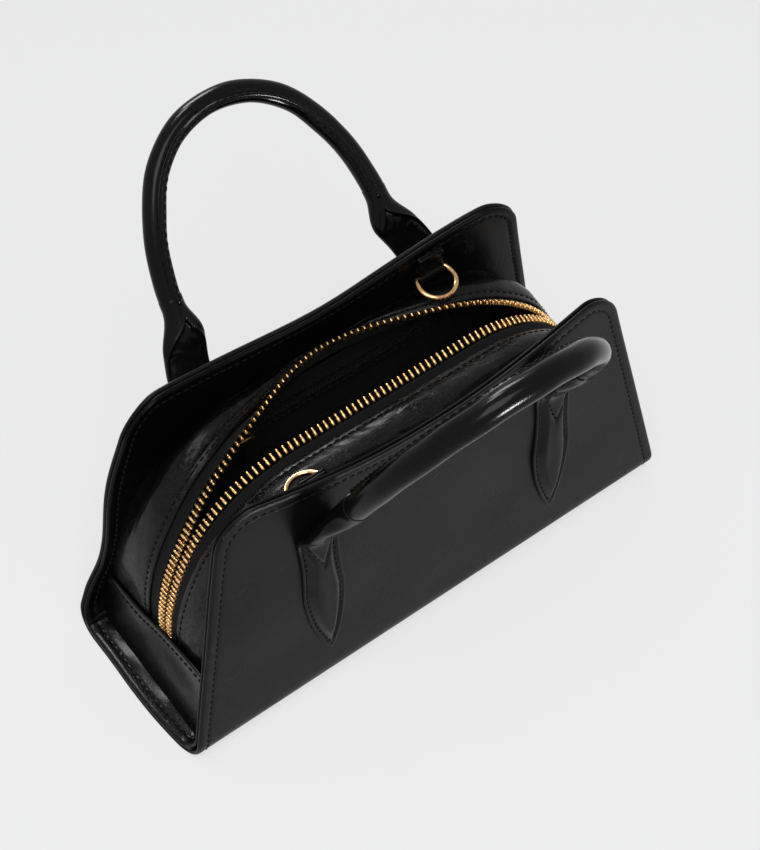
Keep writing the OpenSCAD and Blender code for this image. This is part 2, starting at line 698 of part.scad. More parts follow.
module rear_tabs() color(leather_black) both_sides() tab_leather();
module tab_fillers() color(rope_white) {
  both_sides() tab_filler();
  mirror([0, 1, 0]) both_sides() tab_filler();
}

// Handles, drawn upright on their pivot with the bag side towards -Y, then tilted outwards
pivot_clear = tube_radius + 2 * run_gap;
knuckle_radius = pivot_clear - tab_pad - run_gap;
pivot = wall_point(tab_place, pivot_height, -pivot_clear);
loop_rise = loop_height - leg_length - crown_radius;
side_bend = (pow(loop_half, 2) + pow(loop_rise, 2) - pow(crown_radius, 2))
  / (2 * (loop_half - crown_radius));
side_bend_turn = atan2(loop_rise, side_bend - loop_half);
// [x, z, turn] along the loop from the left leg to the right. Turn is the outward direction.
side_steps = 5;
crown_steps = 12;
loop_left = concat(
  [[-loop_half, neck_length, 180]],
  [for (step = [0:side_steps - 1]) let (turn = side_bend_turn * step / side_steps)
    [side_bend - loop_half - side_bend * cos(turn), leg_length + side_bend * sin(turn), 180 - turn]]
);
loop_crown = [for (step = [0:crown_steps])
  let (turn = 180 - side_bend_turn - (180 - 2 * side_bend_turn) * step / crown_steps)
  [crown_radius * cos(turn), loop_height - crown_radius + crown_radius * sin(turn), turn]];
loop_path = concat(loop_left, loop_crown,
  [for (step = [len(loop_left) - 1:-1:0])
    [-loop_left[step][0], loop_left[step][1], 180 - loop_left[step][2]]]);
// The section is round, with a narrow stitched seam standing up on the bag side.
// Each row is [turn round the tube, share of the seam's rise].
seam_turn = 108;
seam_rise = 1.5;
seam_width = 1.8;
seam_top_share = 0.8;
seam_half_turn = arc_turn(tube_radius, seam_width / 2);
section_steps = 13;
section = concat(
  [[-seam_half_turn, 0], [-seam_half_turn * seam_top_share, 1],
    [seam_half_turn * seam_top_share, 1], [seam_half_turn, 0]],
  [for (step = [1:section_steps]) [360 * step / (section_steps + 1), 0]]
);
function loop_rings(radius, rise) = [for (spot = loop_path) [for (row = section)
  let (reach = radius + rise * row[1], turn = seam_turn + row[0])
  [spot[0] + reach * cos(turn) * cos(spot[2]), -reach * sin(turn),
    spot[1] + reach * cos(turn) * sin(spot[2])]]];
// A neck changes from a flat knuckle as wide as the tab to the round tube
neck_around = 20;
neck_rings = 6;
neck_power_share = 0.8;
function neck_ring(place, wide, thick, height) = [for (spot = [0:neck_around - 1])
  let (turn = 360 * spot / neck_around)
  [place + wide * sign(cos(turn)) * pow(abs(cos(turn)), neck_power_share),
    thick * sign(sin(turn)) * pow(abs(sin(turn)), neck_power_share), height]];
function neck_shape(height) =
  let (share = pow(sin(90 * max(0, height) / neck_length), 2))
  [tab_place + (loop_half - tab_place) * share,
    tab_width / 2 + (tube_radius - tab_width / 2) * share,
    knuckle_radius + (tube_radius - knuckle_radius) * share];
round_turns = [75, 50, 25];
module neck() {
  foot = neck_shape(0);
  rounded = [for (turn = round_turns)
    neck_ring(foot[0], foot[1] - knuckle_radius * (1 - cos(turn)), knuckle_radius * cos(turn),
      -knuckle_radius * sin(turn))];
  rings = [for (ring = [0:neck_rings])
    let (height = neck_length * ring / neck_rings, shape = neck_shape(height))
    neck_ring(shape[0], shape[1], shape[2], height)];
  loft(concat(rounded, rings));
}
module tilted(tilt) translate([0, pivot[1], pivot[2]]) rotate([-tilt, 0, 0]) children();
module handle_cover() hose(loop_rings(tube_radius, seam_rise), loop_rings(rope_radius + glue_gap, 0));
module handle_rope() loft(loop_rings(rope_radius, 0));
module front_handle_cover() color(leather_black) mirror([0, 1, 0]) tilted(front_tilt) handle_cover();
module front_handle_rope() color(rope_white) mirror([0, 1, 0]) tilted(front_tilt) handle_rope();
module front_handle_necks() color(leather_black)
  mirror([0, 1, 0]) tilted(front_tilt) both_sides() neck();
module rear_handle_cover() color(leather_black) tilted(rear_tilt) handle_cover();
module rear_handle_rope() color(rope_white) tilted(rear_tilt) handle_rope();
module rear_handle_necks() color(leather_black) tilted(rear_tilt) both_sides() neck();

// Strap rings, each a round wire closed by a straight bar that turns in a leather loop
bar_turn = 60;
bar_half = ring_radius * sin(bar_turn);
bar_drop = ring_radius * cos(bar_turn);
bar_gap = 0.08;
// The weld at each end of the bar stands a little proud of the wire
bead_rise = 0.12;
eye_radius = ring_wire + bar_gap + loop_leather;
ring_wall = wall_point(ring_place + loop_width / 2, ring_height / cos(panel_lean), shell_depth);
bar_place = [ring_place, ring_wall[1] - eye_radius - soft_gap, ring_height];
module strap_ring() {
  translate([0, -bar_drop, 0]) rotate([0, 0, 90 + bar_turn])
    rotate_extrude(angle = 360 - 2 * bar_turn) translate([ring_radius, 0]) circle(ring_wire);
  translate([-bar_half, 0, 0]) rotate([0, 90, 0]) cylinder(r = ring_wire, h = 2 * bar_half);
  both_sides() translate([bar_half, 0, 0]) rotate([90, 0, 0]) sphere(ring_wire + bead_rise);
}
module placed_ring() translate(bar_place) rotate([ring_slope, 0, 0]) strap_ring();
module rear_ring() color(pale_gold) placed_ring();
module front_ring() color(pale_gold) rotate([0, 0, 180]) placed_ring();

// The loop's two tails lie together on the facing above the bar
tail_length = 10;
module ring_loop() translate(bar_place) difference() {
  union() {
    translate([-loop_width / 2, 0, 0]) rotate([0, 90, 0]) cylinder(r = eye_radius, h = loop_width);
    rotate([panel_lean, 0, 0]) translate([-loop_width / 2, eye_radius - 2 * loop_leather, 0])
      cube([loop_width, 2 * loop_leather, tail_length]);
  }
  translate([-loop_width / 2 - cut_over, 0, 0]) rotate([0, 90, 0])
    cylinder(r = ring_wire + bar_gap, h = loop_width + 2 * cut_over);
}
module rear_ring_loop() color(leather_black) ring_loop();
module front_ring_loop() color(leather_black) rotate([0, 0, 180]) ring_loop();

// Zip slider. It runs along the right hand side curve, drawn here about the curve's centre.
slider_gap = tooth_height / 2 + slider_clearance;
slider_start = 12;
slider_turn = asin((slider_start + slider_length / 2) / side_radius);
flange_place = 2 * row_reach - row_gap / 2 + slider_clearance;
slider_half_width = flange_place + slider_wall;
post_width = row_gap - 2 * slider_clearance;
bridge_rise = 3.4;
bridge_width = 2.4;
bridge_length = 8;
pin_radius = 0.75;
module slider_slice(inner, outer, half) {
  sweep = arc_turn(side_radius, slider_length);
  rotate([90, 0, 0]) rotate([0, 0, -sweep / 2]) rotate_extrude(angle = sweep, $fn = 240)
    translate([inner, -half]) square([outer - inner, 2 * half]);
}
module on_slider() translate([arch_half - side_radius, -zip_shift, arch_base])
  rotate([0, -slider_turn, 0]) children();
bridge_place = side_radius + slider_gap + slider_wall;
module zip_slider() color(brass) on_slider() {
  under = side_radius - slider_gap - slider_wall;
  over = side_radius + slider_gap + slider_wall;
  slider_slice(over - slider_wall, over, slider_half_width);
  slider_slice(under, under + slider_wall, slider_half_width);
  slider_slice(under, over, post_width / 2);
  flange_rise = slider_gap - tape_thickness / 2 - slider_clearance + slider_wall;
  for (side = [-1, 1]) translate([0, side * (flange_place + slider_wall / 2), 0]) {
    slider_slice(over - flange_rise, over, slider_wall / 2);
    slider_slice(under, under + flange_rise, slider_wall / 2);
  }
  translate([bridge_place - slider_wall / 2, -bridge_width / 2, -bridge_length / 2]) difference() {
    cube([bridge_rise + slider_wall / 2, bridge_width, bridge_length]);
    translate([slider_wall / 2, -cut_over, slider_wall])
      cube([bridge_rise - slider_wall, bridge_width + 2 * cut_over, bridge_length - 2 * slider_wall]);
  }
}

// Zip puller. A pin through the bridge carries two arms and a flat tag.
arm_width = 1.2;
arm_length = 5;
puller_thickness = 1.3;
pin_out = bridge_place + (bridge_rise - slider_wall) / 2;
pin_down = bridge_length / 2 - slider_wall - pin_radius - run_gap;
module zip_puller() color(brass) on_slider() translate([pin_out, 0, -pin_down]) {
  arm_place = bridge_width / 2 + run_gap;
  back = -puller_thickness / 2;
  rotate([90, 0, 0]) translate([0, 0, -arm_place - arm_width])
    cylinder(r = pin_radius, h = 2 * (arm_place + arm_width));
  for (side = [-arm_place - arm_width, arm_place]) translate([back, side, -arm_length])
    cube([puller_thickness, arm_width, arm_length]);
  rotate([0, 90, 0]) translate([0, 0, back]) hull() {
    translate([arm_length, -arm_place - arm_width, 0])
      cube([arm_width, 2 * (arm_place + arm_width), puller_thickness]);
    translate([puller_length - puller_width / 2, 0, 0])
      cylinder(d = puller_width, h = puller_thickness, $fn = 32);
  }
}

front_panel();
rear_panel();
base_panel();
front_board();
rear_board();
base_board();
front_facing();
rear_facing();
base_facing();
left_gusset();
right_gusset();
front_roof();
rear_roof();
front_zip_tape();
rear_zip_tape();
front_zip_teeth();
rear_zip_teeth();
zip_stops();
front_lining();
rear_lining();
base_lining();
side_linings();
front_tabs();
rear_tabs();
tab_fillers();
front_ring_loop();
rear_ring_loop();
front_handle_cover();
front_handle_rope();
front_handle_necks();
rear_handle_cover();
rear_handle_rope();
rear_handle_necks();
front_ring();
rear_ring();
zip_slider();
zip_puller();
pocket_bag();
pocket_welt();
pocket_tape();
pocket_coil();
slip_pocket();
pocket_slider();
pocket_puller();
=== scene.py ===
# %% [markdown]
# # A black top handle bag
# The real object is a small structured handbag. A stiff leather shell folds up from a flat base
# and stays open at both ends. A soft pouch with a long arched zip hangs inside it, two rolled
# handles grow out of leaf shaped tabs, and two rings take a shoulder strap. The CAD part gives
# every size and every moving body, so this script only has to dress it: each surface is worked
# out with numpy from the same sizes, in millimetres, and put into a mesh in metres.

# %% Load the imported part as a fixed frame
import math

import bmesh
import bpy
import numpy as np
from mathutils import Matrix


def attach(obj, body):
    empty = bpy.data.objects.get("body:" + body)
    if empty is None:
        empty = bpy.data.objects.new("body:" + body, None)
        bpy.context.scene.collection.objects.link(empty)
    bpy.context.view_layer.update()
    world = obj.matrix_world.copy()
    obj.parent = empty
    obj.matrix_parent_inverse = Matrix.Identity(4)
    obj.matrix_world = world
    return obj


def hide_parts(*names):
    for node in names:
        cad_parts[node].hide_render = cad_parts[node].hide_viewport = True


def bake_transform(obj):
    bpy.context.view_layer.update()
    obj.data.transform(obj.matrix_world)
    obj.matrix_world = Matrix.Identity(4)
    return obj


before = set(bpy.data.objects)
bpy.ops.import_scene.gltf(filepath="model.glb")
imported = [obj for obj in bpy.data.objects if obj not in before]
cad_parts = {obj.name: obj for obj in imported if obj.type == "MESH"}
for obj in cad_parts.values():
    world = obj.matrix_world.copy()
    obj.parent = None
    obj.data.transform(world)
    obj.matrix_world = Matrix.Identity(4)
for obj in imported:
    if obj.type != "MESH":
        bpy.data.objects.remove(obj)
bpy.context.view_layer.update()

# %% [markdown]
# ## Camera
# The photo looks down on the bag from the front left. The camera's place was worked out from the
# bag's corners in the photo. It is written as a distance along the line of sight, with a small
# sideways step, because that is easier to read than a matrix.

# %% Camera at the photo's viewing angle
MM = 0.001
UP = np.array([0, 0, 1.0])
VIEW_TURN, VIEW_RISE, VIEW_ROLL = -0.6293, 0.9374, -0.0121
VIEW_AIM = np.array([0, 0, 70.0])
VIEW_DISTANCE, VIEW_RIGHT, VIEW_UP = 720.246, 1.9038, 7.5215
LENS_PIXELS, LONG_SIDE_PIXELS, SENSOR_WIDTH = 1830.64, 850, 36
NEAR_CLIP, FAR_CLIP = 0.05, 20


def camera_axes(turn, rise, roll):
    """Right, up and backward unit vectors. Backward points from the bag to the camera; right is
    level and across it, and roll turns right and up about it."""
    back = np.array([math.sin(turn) * math.cos(rise), -math.cos(turn) * math.cos(rise), math.sin(rise)])
    right = np.cross(UP, back)
    right /= np.linalg.norm(right)
    up = np.cross(back, right)
    c, s = math.cos(roll), math.sin(roll)
    return c * right + s * up, c * up - s * right, back


def add_to_scene(name, data, axes=None, place=None):
    """An object in the scene, with its three axes and its place in metres if they are given."""
    thing = bpy.data.objects.new(name, data)
    if axes is not None:
        rows = [[*row, spot] for row, spot in zip(np.stack(axes, 1), place)]
        thing.matrix_world = Matrix(rows + [[0, 0, 0, 1]])
    bpy.context.scene.collection.objects.link(thing)
    return thing


right, up, back = camera_axes(VIEW_TURN, VIEW_RISE, VIEW_ROLL)
eye = VIEW_AIM + back * VIEW_DISTANCE + right * VIEW_RIGHT + up * VIEW_UP
lens = bpy.data.cameras.new("photo_camera")
lens.sensor_width = SENSOR_WIDTH
lens.lens = LENS_PIXELS * SENSOR_WIDTH / LONG_SIDE_PIXELS
lens.clip_start, lens.clip_end = NEAR_CLIP, FAR_CLIP
bpy.context.scene.camera = add_to_scene("photo_camera", lens, [right, up, back], eye * MM)
bpy.context.scene.view_settings.view_transform = "Standard"
print("camera at", np.round(eye), "mm, lens", round(lens.lens, 1), "mm")

# %% [markdown]
# ## Nodes
# A material is a graph of nodes. Three helpers keep the graphs below short: one makes a node with
# its values, one links sockets to its inputs by name, and one starts a material or the world.

# %% Node helpers
def socket_name(key):
    """A socket's label from a keyword."""
    return key.replace("_", " ").title().replace("Ior", "IOR")


def add_node(tree, kind, **settings):
    """A node of that kind. Settings that name an input set its value, and the others are properties."""
    node = tree.nodes.new("ShaderNode" + kind)
    for key, value in settings.items():
        if socket_name(key) in node.inputs:
            node.inputs[socket_name(key)].default_value = value
        else:
            setattr(node, key, value)
    return node


def feed(tree, node, **sources):
    """Links each source socket to the node's input of that name."""
    for key, source in sources.items():
        tree.links.new(source, node.inputs[socket_name(key)])
    return node


def new_tree(owner, output):
    """An owner's empty node tree and its output node."""
    owner.use_nodes = True
    owner.node_tree.nodes.clear()
    return owner.node_tree, owner.node_tree.nodes.new("ShaderNodeOutput" + output)


def math_node(tree, operation, *operands):
    """A Math node's result. An operand is a number or another node's socket."""
    node = add_node(tree, "Math", operation=operation)
    for slot, value in enumerate(operands):
        if isinstance(value, bpy.types.NodeSocket):
            tree.links.new(value, node.inputs[slot])
        else:
            node.inputs[slot].default_value = value
    return node.outputs[0]


material = bpy.data.materials.new("pale_floor")
print("a new material holds", len(new_tree(material, "Material")[0].nodes), "node")

# %% [markdown]
# ## Floor and light
# The photo has a plain pale grey ground with a very soft shadow, and black leather that shows only
# a few bright reflections. So the lamps are small square panels, bright enough to draw a highlight
# on each roll and fold, and the world is a weak fill. A Light Path node shows the ground and the
# world in their own pale grey to the camera and in reflections, without more light on the bag.
# Three of the lamps only draw highlights and leave the level of the matt colours alone.

# %% Pale ground, world and lamps
PALE, FILL = (0.823, 0.823, 0.823, 1), (0.93, 0.95, 1.0, 1)
FILL_STRENGTH, FLOOR_GLOW, FLOOR_SHARE, WORLD_SHARE = 0.32, 1.2, 0.65, 1.0
FLOOR_SIZE, FLOOR_DROP = 6, 0.0004
# Name, place, aim, size in metres, watts, and whether only gloss sees it
LAMPS = (
    ("key_panel", (-0.35, -0.50, 1.35), (0, 0, 0.05), 0.80, 11, False),
    ("low_front_panel", (0.08, -1.36, 0.11), (0, 0, 0.18), 0.24, 32, True),
    ("top_back_panel", (-0.05, 0.75, 1.15), (0, 0, 0.05), 0.26, 6, True),
    ("back_panel", (0.24, 1.08, 0.88), (0, 0, 0.10), 0.40, 13, True),
)


def two_faced(tree, out, share, low, high):
    """One shader for the rays that light the bag, and a share of another for the rays of the camera,
    of gloss and through glass."""
    path = add_node(tree, "LightPath").outputs
    either = math_node(tree, "MAXIMUM", path["Is Camera Ray"], path["Is Glossy Ray"])
    either = math_node(tree, "MAXIMUM", either, path["Is Transmission Ray"])
    choice = feed(tree, add_node(tree, "MixShader"), fac=math_node(tree, "MULTIPLY", either, share))
    for slot, shader in ((1, low), (2, high)):
        tree.links.new(shader.outputs[0], choice.inputs[slot])
    feed(tree, out, surface=choice.outputs[0])


def add_lamp(name, place, aim, size, watts, gloss_only):
    """A square lamp at a place, turned towards a point."""
    data = bpy.data.lights.new(name, "AREA")
    data.shape, data.size, data.energy = "SQUARE", size, watts
    way = np.array(aim, float) - np.array(place, float)
    way /= np.linalg.norm(way)
    side = np.cross(way, UP)
    side /= np.linalg.norm(side)
    lamp = add_to_scene(name, data, [side, np.cross(side, way), -way], place)
    lamp.visible_diffuse = not gloss_only


world = bpy.data.worlds.new("studio")
bpy.context.scene.world = world
tree, out = new_tree(world, "World")
two_faced(tree, out, WORLD_SHARE, add_node(tree, "Background", color=FILL, strength=FILL_STRENGTH),
          add_node(tree, "Background", color=PALE, strength=1.0))

bpy.ops.mesh.primitive_plane_add(size=FLOOR_SIZE, location=(0, 0, -FLOOR_DROP))
floor = bpy.context.object
floor.name = "pale_floor"
tree, out = new_tree(material, "Material")
two_faced(tree, out, FLOOR_SHARE, add_node(tree, "BsdfDiffuse", color=PALE),
          add_node(tree, "Emission", color=PALE, strength=FLOOR_GLOW))
floor.data.materials.append(material)
for lamp in LAMPS:
    add_lamp(*lamp)
print("lamps:", [lamp[0] for lamp in LAMPS])

# %% [markdown]
# ## Sizes and surfaces
# These are the part's own sizes. A leather panel is a flat pattern that is bent to shape, so each
# point of the shell is given as on a maker's pattern: x across the panel, and girth, the length
# along the leather from the middle of the base, negative towards the front. One function turns
# such a pattern point and a depth below the outer face into a place in space. Everything on the
# shell uses it: leather, facing, seams and tabs.

# %% Sizes in millimetres
BASE_HALF, BASE_DEPTH, PANEL_HEIGHT, PANEL_TAPER = 119.5, 87.0, 131.0, 30.5
LEAN = math.radians(5.5)
BEND_RADIUS, CORNER_RADIUS, TOP_DIP, PANEL_SWELL, END_BOW = 12.0, 15.0, 8.0, 5.5, 2.0
SHELL_DEPTH = 4.0
BEND_TURN = math.pi / 2 + LEAN
BEND_REACH = BEND_RADIUS * math.tan(BEND_TURN / 2)
FLAT_HALF = BASE_DEPTH / 2 - BEND_REACH
BEND_END = FLAT_HALF + BEND_RADIUS * BEND_TURN
DIP_REACH, DIP_POWER, SWELL_POWER = 0.88, 1.3, 1.5
print("girth of half the base:", round(FLAT_HALF, 1), "mm, and to the bend's end:", round(BEND_END, 1), "mm")

# %% [markdown]
# Three small functions come back everywhere: unit vectors, a smooth step for parts that begin or
# end softly, and a bell for anything that stands up or sinks in around one place.

# %% Unit vectors, steps and bells
TINY = 1e-12


def unit(vectors):
    """Each vector divided by its length."""
    return vectors / np.maximum(np.linalg.norm(vectors, axis=-1, keepdims=True), TINY)


def ease(value, low, high):
    """A smooth step: 0 below low, 1 above high, and 3t squared minus 2t cubed between."""
    t = np.clip((np.asarray(value, float) - low) / (high - low), 0, 1)
    return t * t * (3 - 2 * t)


def bump(value, middle, spread):
    """A bell: e to the power of minus half the squared distance from its middle, in spreads."""
    return np.exp(-0.5 * ((value - middle) / spread) ** 2)


print("a step half way:", ease(0.5, 0, 1), "and a bell at one spread:", round(bump(1, 0, 1), 3))

# %% [markdown]
# A pattern point becomes a point in space by where it lies: on the flat base, round the bend's
# circle, or up the slope, which leans in and swells a little outwards, as padded leather does.

# %% From the pattern to space
def half_at(height):
    """Half length of a panel, which falls evenly with the height up its slope."""
    return BASE_HALF - PANEL_TAPER * height / PANEL_HEIGHT


def swell_at(x, height):
    """Outward swell of a panel: one minus the squared share across, times the rise to a power."""
    across = x / half_at(height)
    rise = np.maximum(0, (height - BEND_REACH) / (PANEL_HEIGHT - BEND_REACH))
    return PANEL_SWELL * (1 - across**2) * rise**SWELL_POWER


def shell_point(x, girth, depth):
    """A pattern point in space. Below FLAT_HALF it lies on the base, at that distance from the
    middle; then it turns round the bend's circle; and past BEND_END it climbs the leaning,
    swelling slope."""
    x, girth, depth = np.broadcast_arrays(*(np.asarray(v, float) for v in (x, girth, depth)))
    side, way = np.where(girth < 0, -1.0, 1.0), np.abs(girth)
    turn = np.clip((way - FLAT_HALF) / BEND_RADIUS, 0, BEND_TURN)
    bend_y = FLAT_HALF + (BEND_RADIUS - depth) * np.sin(turn)
    bend_z = BEND_RADIUS - (BEND_RADIUS - depth) * np.cos(turn)
    height = way - BEND_END + BEND_REACH
    out = swell_at(x, height) - depth
    slope_y = BASE_DEPTH / 2 - height * math.sin(LEAN) + out * math.cos(LEAN)
    slope_z = height * math.cos(LEAN) + out * math.sin(LEAN)
    y = np.where(way < FLAT_HALF, way, np.where(way < BEND_END, bend_y, slope_y))
    z = np.where(way < FLAT_HALF, depth, np.where(way < BEND_END, bend_z, slope_z))
    return np.stack([x, side * y, z], -1)


def half_width(girth):
    """Half the shell's width at a girth: bowed along the base's end, then falling up the slope."""
    way = np.abs(girth)
    flat = BASE_HALF + END_BOW * (1 - (np.minimum(way, FLAT_HALF) / FLAT_HALF) ** 2)
    slope = half_at(np.maximum(way - BEND_END, 0) + BEND_REACH)
    share = np.clip((way - FLAT_HALF) / (BEND_END - FLAT_HALF), 0, 1)
    return flat + (slope - flat) * share


def girth_of(height):
    """The girth at a height up the slope."""
    return height + BEND_END - BEND_REACH


def wall_point(x, height, depth):
    """A point of the rear wall at an x, a height up its slope and a depth."""
    return shell_point(x, girth_of(np.asarray(height, float)), depth)


print("half girth to the shoulder:", round(girth_of(PANEL_HEIGHT), 1), "mm")

# %% [markdown]
# ## From grids to meshes
# A few helpers make most pieces. One turns a grid of points into faces, closed round either way or
# not. One closes a grid's first and last rows to a point. The last puts points and faces into a
# mesh, merges corners that lie on each other, checks that the faces point outwards, and hands the
# piece to its body.

# %% Grids and faces
def grid_faces(rows, columns, round_rows=False, round_columns=False, flip=False):
    """Corner numbers of a grid's squares: each joins a point, its right neighbour and the two above."""
    r = np.arange(rows if round_rows else rows - 1)[:, None]
    c = np.arange(columns if round_columns else columns - 1)[None, :]
    r2, c2 = (r + 1) % rows, (c + 1) % columns
    corners = (r * columns + c, r * columns + c2, r2 * columns + c2, r2 * columns + c)
    quads = np.stack(np.broadcast_arrays(*corners), -1).reshape(-1, 4)
    return quads[:, ::-1] if flip else quads


def meshed(grid, **turns):
    """A grid's points as a list, and its faces."""
    return grid.reshape(-1, 3), grid_faces(*grid.shape[:2], **turns)


def capped(grid):
    """A grid of rings with a ring more at each end, all of whose points lie in the ring's middle."""
    first, last = (ring.mean(1, keepdims=True) + 0 * ring for ring in (grid[[0]], grid[[-1]]))
    return np.concatenate([first, grid, last])


def rim_of(rows, columns):
    """Corner numbers round a grid's edge, in order."""
    grid = np.arange(rows * columns).reshape(rows, columns)
    return np.concatenate([grid[0, :-1], grid[:-1, -1], grid[-1, :0:-1], grid[:0:-1, 0]])


def joined(parts):
    """Several (points, faces) pairs as one, with the corner numbers moved along."""
    starts = np.cumsum([0] + [len(p) for p, _ in parts[:-1]])
    faces = [f + start for (_, f), start in zip(parts, starts)]
    return np.concatenate([p for p, _ in parts]), np.concatenate(faces)


def repeated(shape, faces, axes, place):
    """A small shape copied to many places: its three coordinates times each place's three axes."""
    points = np.einsum("pk,nkd->npd", shape, axes) + place[:, None]
    starts = (np.arange(len(place)) * len(shape))[:, None, None]
    return points.reshape(-1, 3), (faces[None] + starts).reshape(-1, 4)


print("a ring of 8 x 8 points has", len(grid_faces(8, 8, round_columns=True)), "faces")

# %% [markdown]
# Blender takes a mesh fastest as whole arrays. bmesh then closes the seams and poles by merging
# corners that lie on each other, and turns the faces outwards.

# %% Meshes and pieces
WELD_DISTANCE = 2e-6


def build_mesh(name, points, faces, uv=None):
    """A mesh from points in millimetres and an array of four sided faces."""
    mesh = bpy.data.meshes.new(name)
    mesh.vertices.add(len(points))
    mesh.vertices.foreach_set("co", (np.asarray(points) * MM).astype(np.float32).ravel())
    mesh.loops.add(faces.size)
    mesh.loops.foreach_set("vertex_index", faces.astype(np.int32).ravel())
    mesh.polygons.add(len(faces))
    mesh.polygons.foreach_set("loop_start", np.arange(0, faces.size, 4, dtype=np.int32))
    mesh.update(calc_edges=True)
    if uv is not None:
        layer = mesh.uv_layers.new(name="cloth")
        layer.data.foreach_set("uv", np.asarray(uv, np.float32)[faces.ravel()].ravel())
    return mesh


def finish_mesh(mesh):
    """Merges doubled corners, drops flat faces, turns all faces outwards and shades them smooth."""
    work = bmesh.new()
    work.from_mesh(mesh)
    bmesh.ops.remove_doubles(work, verts=work.verts, dist=WELD_DISTANCE)
    bmesh.ops.dissolve_degenerate(work, edges=work.edges, dist=WELD_DISTANCE / 2)
    bmesh.ops.recalc_face_normals(work, faces=work.faces)
    if work.calc_volume(signed=True) < 0:
        bmesh.ops.reverse_faces(work, faces=work.faces)
    for face in work.faces:
        face.smooth = True
    work.to_mesh(mesh)
    work.free()


def add_piece(name, points, faces, finish, body="shell", stands_for=(), slot=None, uv=None):
    """Builds a piece, gives it its finish and its body, and hides the CAD nodes it stands for."""
    mesh = build_mesh(name, points, faces, uv)
    finish_mesh(mesh)
    piece = add_to_scene(name, mesh)
    mesh.materials.append(finish)
    if body:
        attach(piece, body)
    if stands_for:
        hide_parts(*stands_for)
    print(f"{name}: {len(mesh.vertices)} points, {len(mesh.polygons)} faces")
    return piece


print("corners closer than", WELD_DISTANCE, "m are merged")

# %% [markdown]
# ## Finishes
# Black leather is never one black. Under the lamps it shows a fine pebbled grain, shallow creases
# that break up the reflections, and duller patches. These effects are shared, so each is a node
# group that puts out masks or a height, and every leather takes them with its own strengths.

# %% Helpers for the groups
def new_group(name, inputs, outputs):
    """A shader node group with named sockets. A tuple as an input's value makes it a vector."""
    group = bpy.data.node_groups.new(name, "ShaderNodeTree")
    for label, value in inputs.items():
        kind = "NodeSocketVector" if isinstance(value, tuple) else "NodeSocketFloat"
        socket = group.interface.new_socket(label, in_out="INPUT", socket_type=kind)
        if kind == "NodeSocketFloat":
            socket.default_value = value
    for label in outputs:
        group.interface.new_socket(label, in_out="OUTPUT", socket_type="NodeSocketFloat")
    given = group.nodes.new("NodeGroupInput").outputs
    return group, given, group.nodes.new("NodeGroupOutput")


def noise_node(tree, place, scale, detail=4.0, roughness=0.5):
    """Noise on a place socket."""
    node = add_node(tree, "TexNoise", scale=scale, detail=detail, roughness=roughness)
    return feed(tree, node, vector=place).outputs["Fac"]


def band(tree, value, low, high, out_low=0.0, out_high=1.0):
    """A smooth Map Range from one band of values to another."""
    node = add_node(tree, "MapRange", from_min=low, from_max=high, to_min=out_low, to_max=out_high,
                    interpolation_type="SMOOTHSTEP")
    return feed(tree, node, value=value).outputs["Result"]


# %% [markdown]
# The grain's pebbles come from the distance to the edges of scattered cells, on a place that noise
# warps a little. Its creases are the lines where a stretched and distorted noise passes its middle
# value, and they show only where a broader noise lets them. Bump alone would do for the pebbles,
# but the creases also have to lift the colour and the roughness, so the group puts them out too.

# %% Leather grain
GRAIN_WARP, CREASE_HALF, PEBBLE_RIM, FINE_SHARE = 0.0006, 0.035, 0.18, 0.12
grain_group, given, result = new_group(
    "leather_grain",
    {"Place": (0, 0, 0), "Pebble Size": 0.0011, "Pebble Depth": 0.25, "Crease Size": 0.02,
     "Crease Depth": 0.4},
    ("Height", "Creases", "Patches"),
)
tree, place = grain_group, given["Place"]
warp = feed(tree, add_node(tree, "TexNoise", scale=420.0, detail=2.0), vector=place)
warped = add_node(tree, "VectorMath", operation="MULTIPLY_ADD")
warped.inputs[1].default_value = (GRAIN_WARP,) * 3
tree.links.new(warp.outputs["Color"], warped.inputs[0])
tree.links.new(place, warped.inputs[2])
cells = add_node(tree, "TexVoronoi", feature="DISTANCE_TO_EDGE")
feed(tree, cells, vector=warped.outputs[0], scale=math_node(tree, "DIVIDE", 1.0, given["Pebble Size"]))
pebble = band(tree, cells.outputs["Distance"], 0.0, PEBBLE_RIM)
stretch = add_node(tree, "Mapping", scale=(1.0, 1.7, 0.8), rotation=(0.3, 0.5, 0.7))
feed(tree, stretch, vector=place)
lines = add_node(tree, "TexNoise", detail=5.0, roughness=0.62, distortion=1.2)
feed(tree, lines, vector=stretch.outputs[0], scale=math_node(tree, "DIVIDE", 1.0, given["Crease Size"]))
line = math_node(tree, "ABSOLUTE", math_node(tree, "SUBTRACT", lines.outputs["Fac"], 0.5))
where = band(tree, noise_node(tree, place, 46.0, 3.0), 0.46, 0.66)
creased = math_node(tree, "MULTIPLY", band(tree, line, 0.0, CREASE_HALF, 1.0, 0.0), where)
soft = math_node(tree, "MULTIPLY", pebble, given["Pebble Depth"])
soft = math_node(tree, "MULTIPLY_ADD", noise_node(tree, place, 2600.0, 3.0, 0.6), FINE_SHARE, soft)
sunk = math_node(tree, "MULTIPLY", given["Crease Depth"], -1.0)
feed(tree, result, height=math_node(tree, "MULTIPLY_ADD", creased, sunk, soft), creases=creased,
     patches=band(tree, noise_node(tree, place, 26.0, 5.0, 0.6), 0.35, 0.68))
print("leather grain:", len(tree.nodes), "nodes")
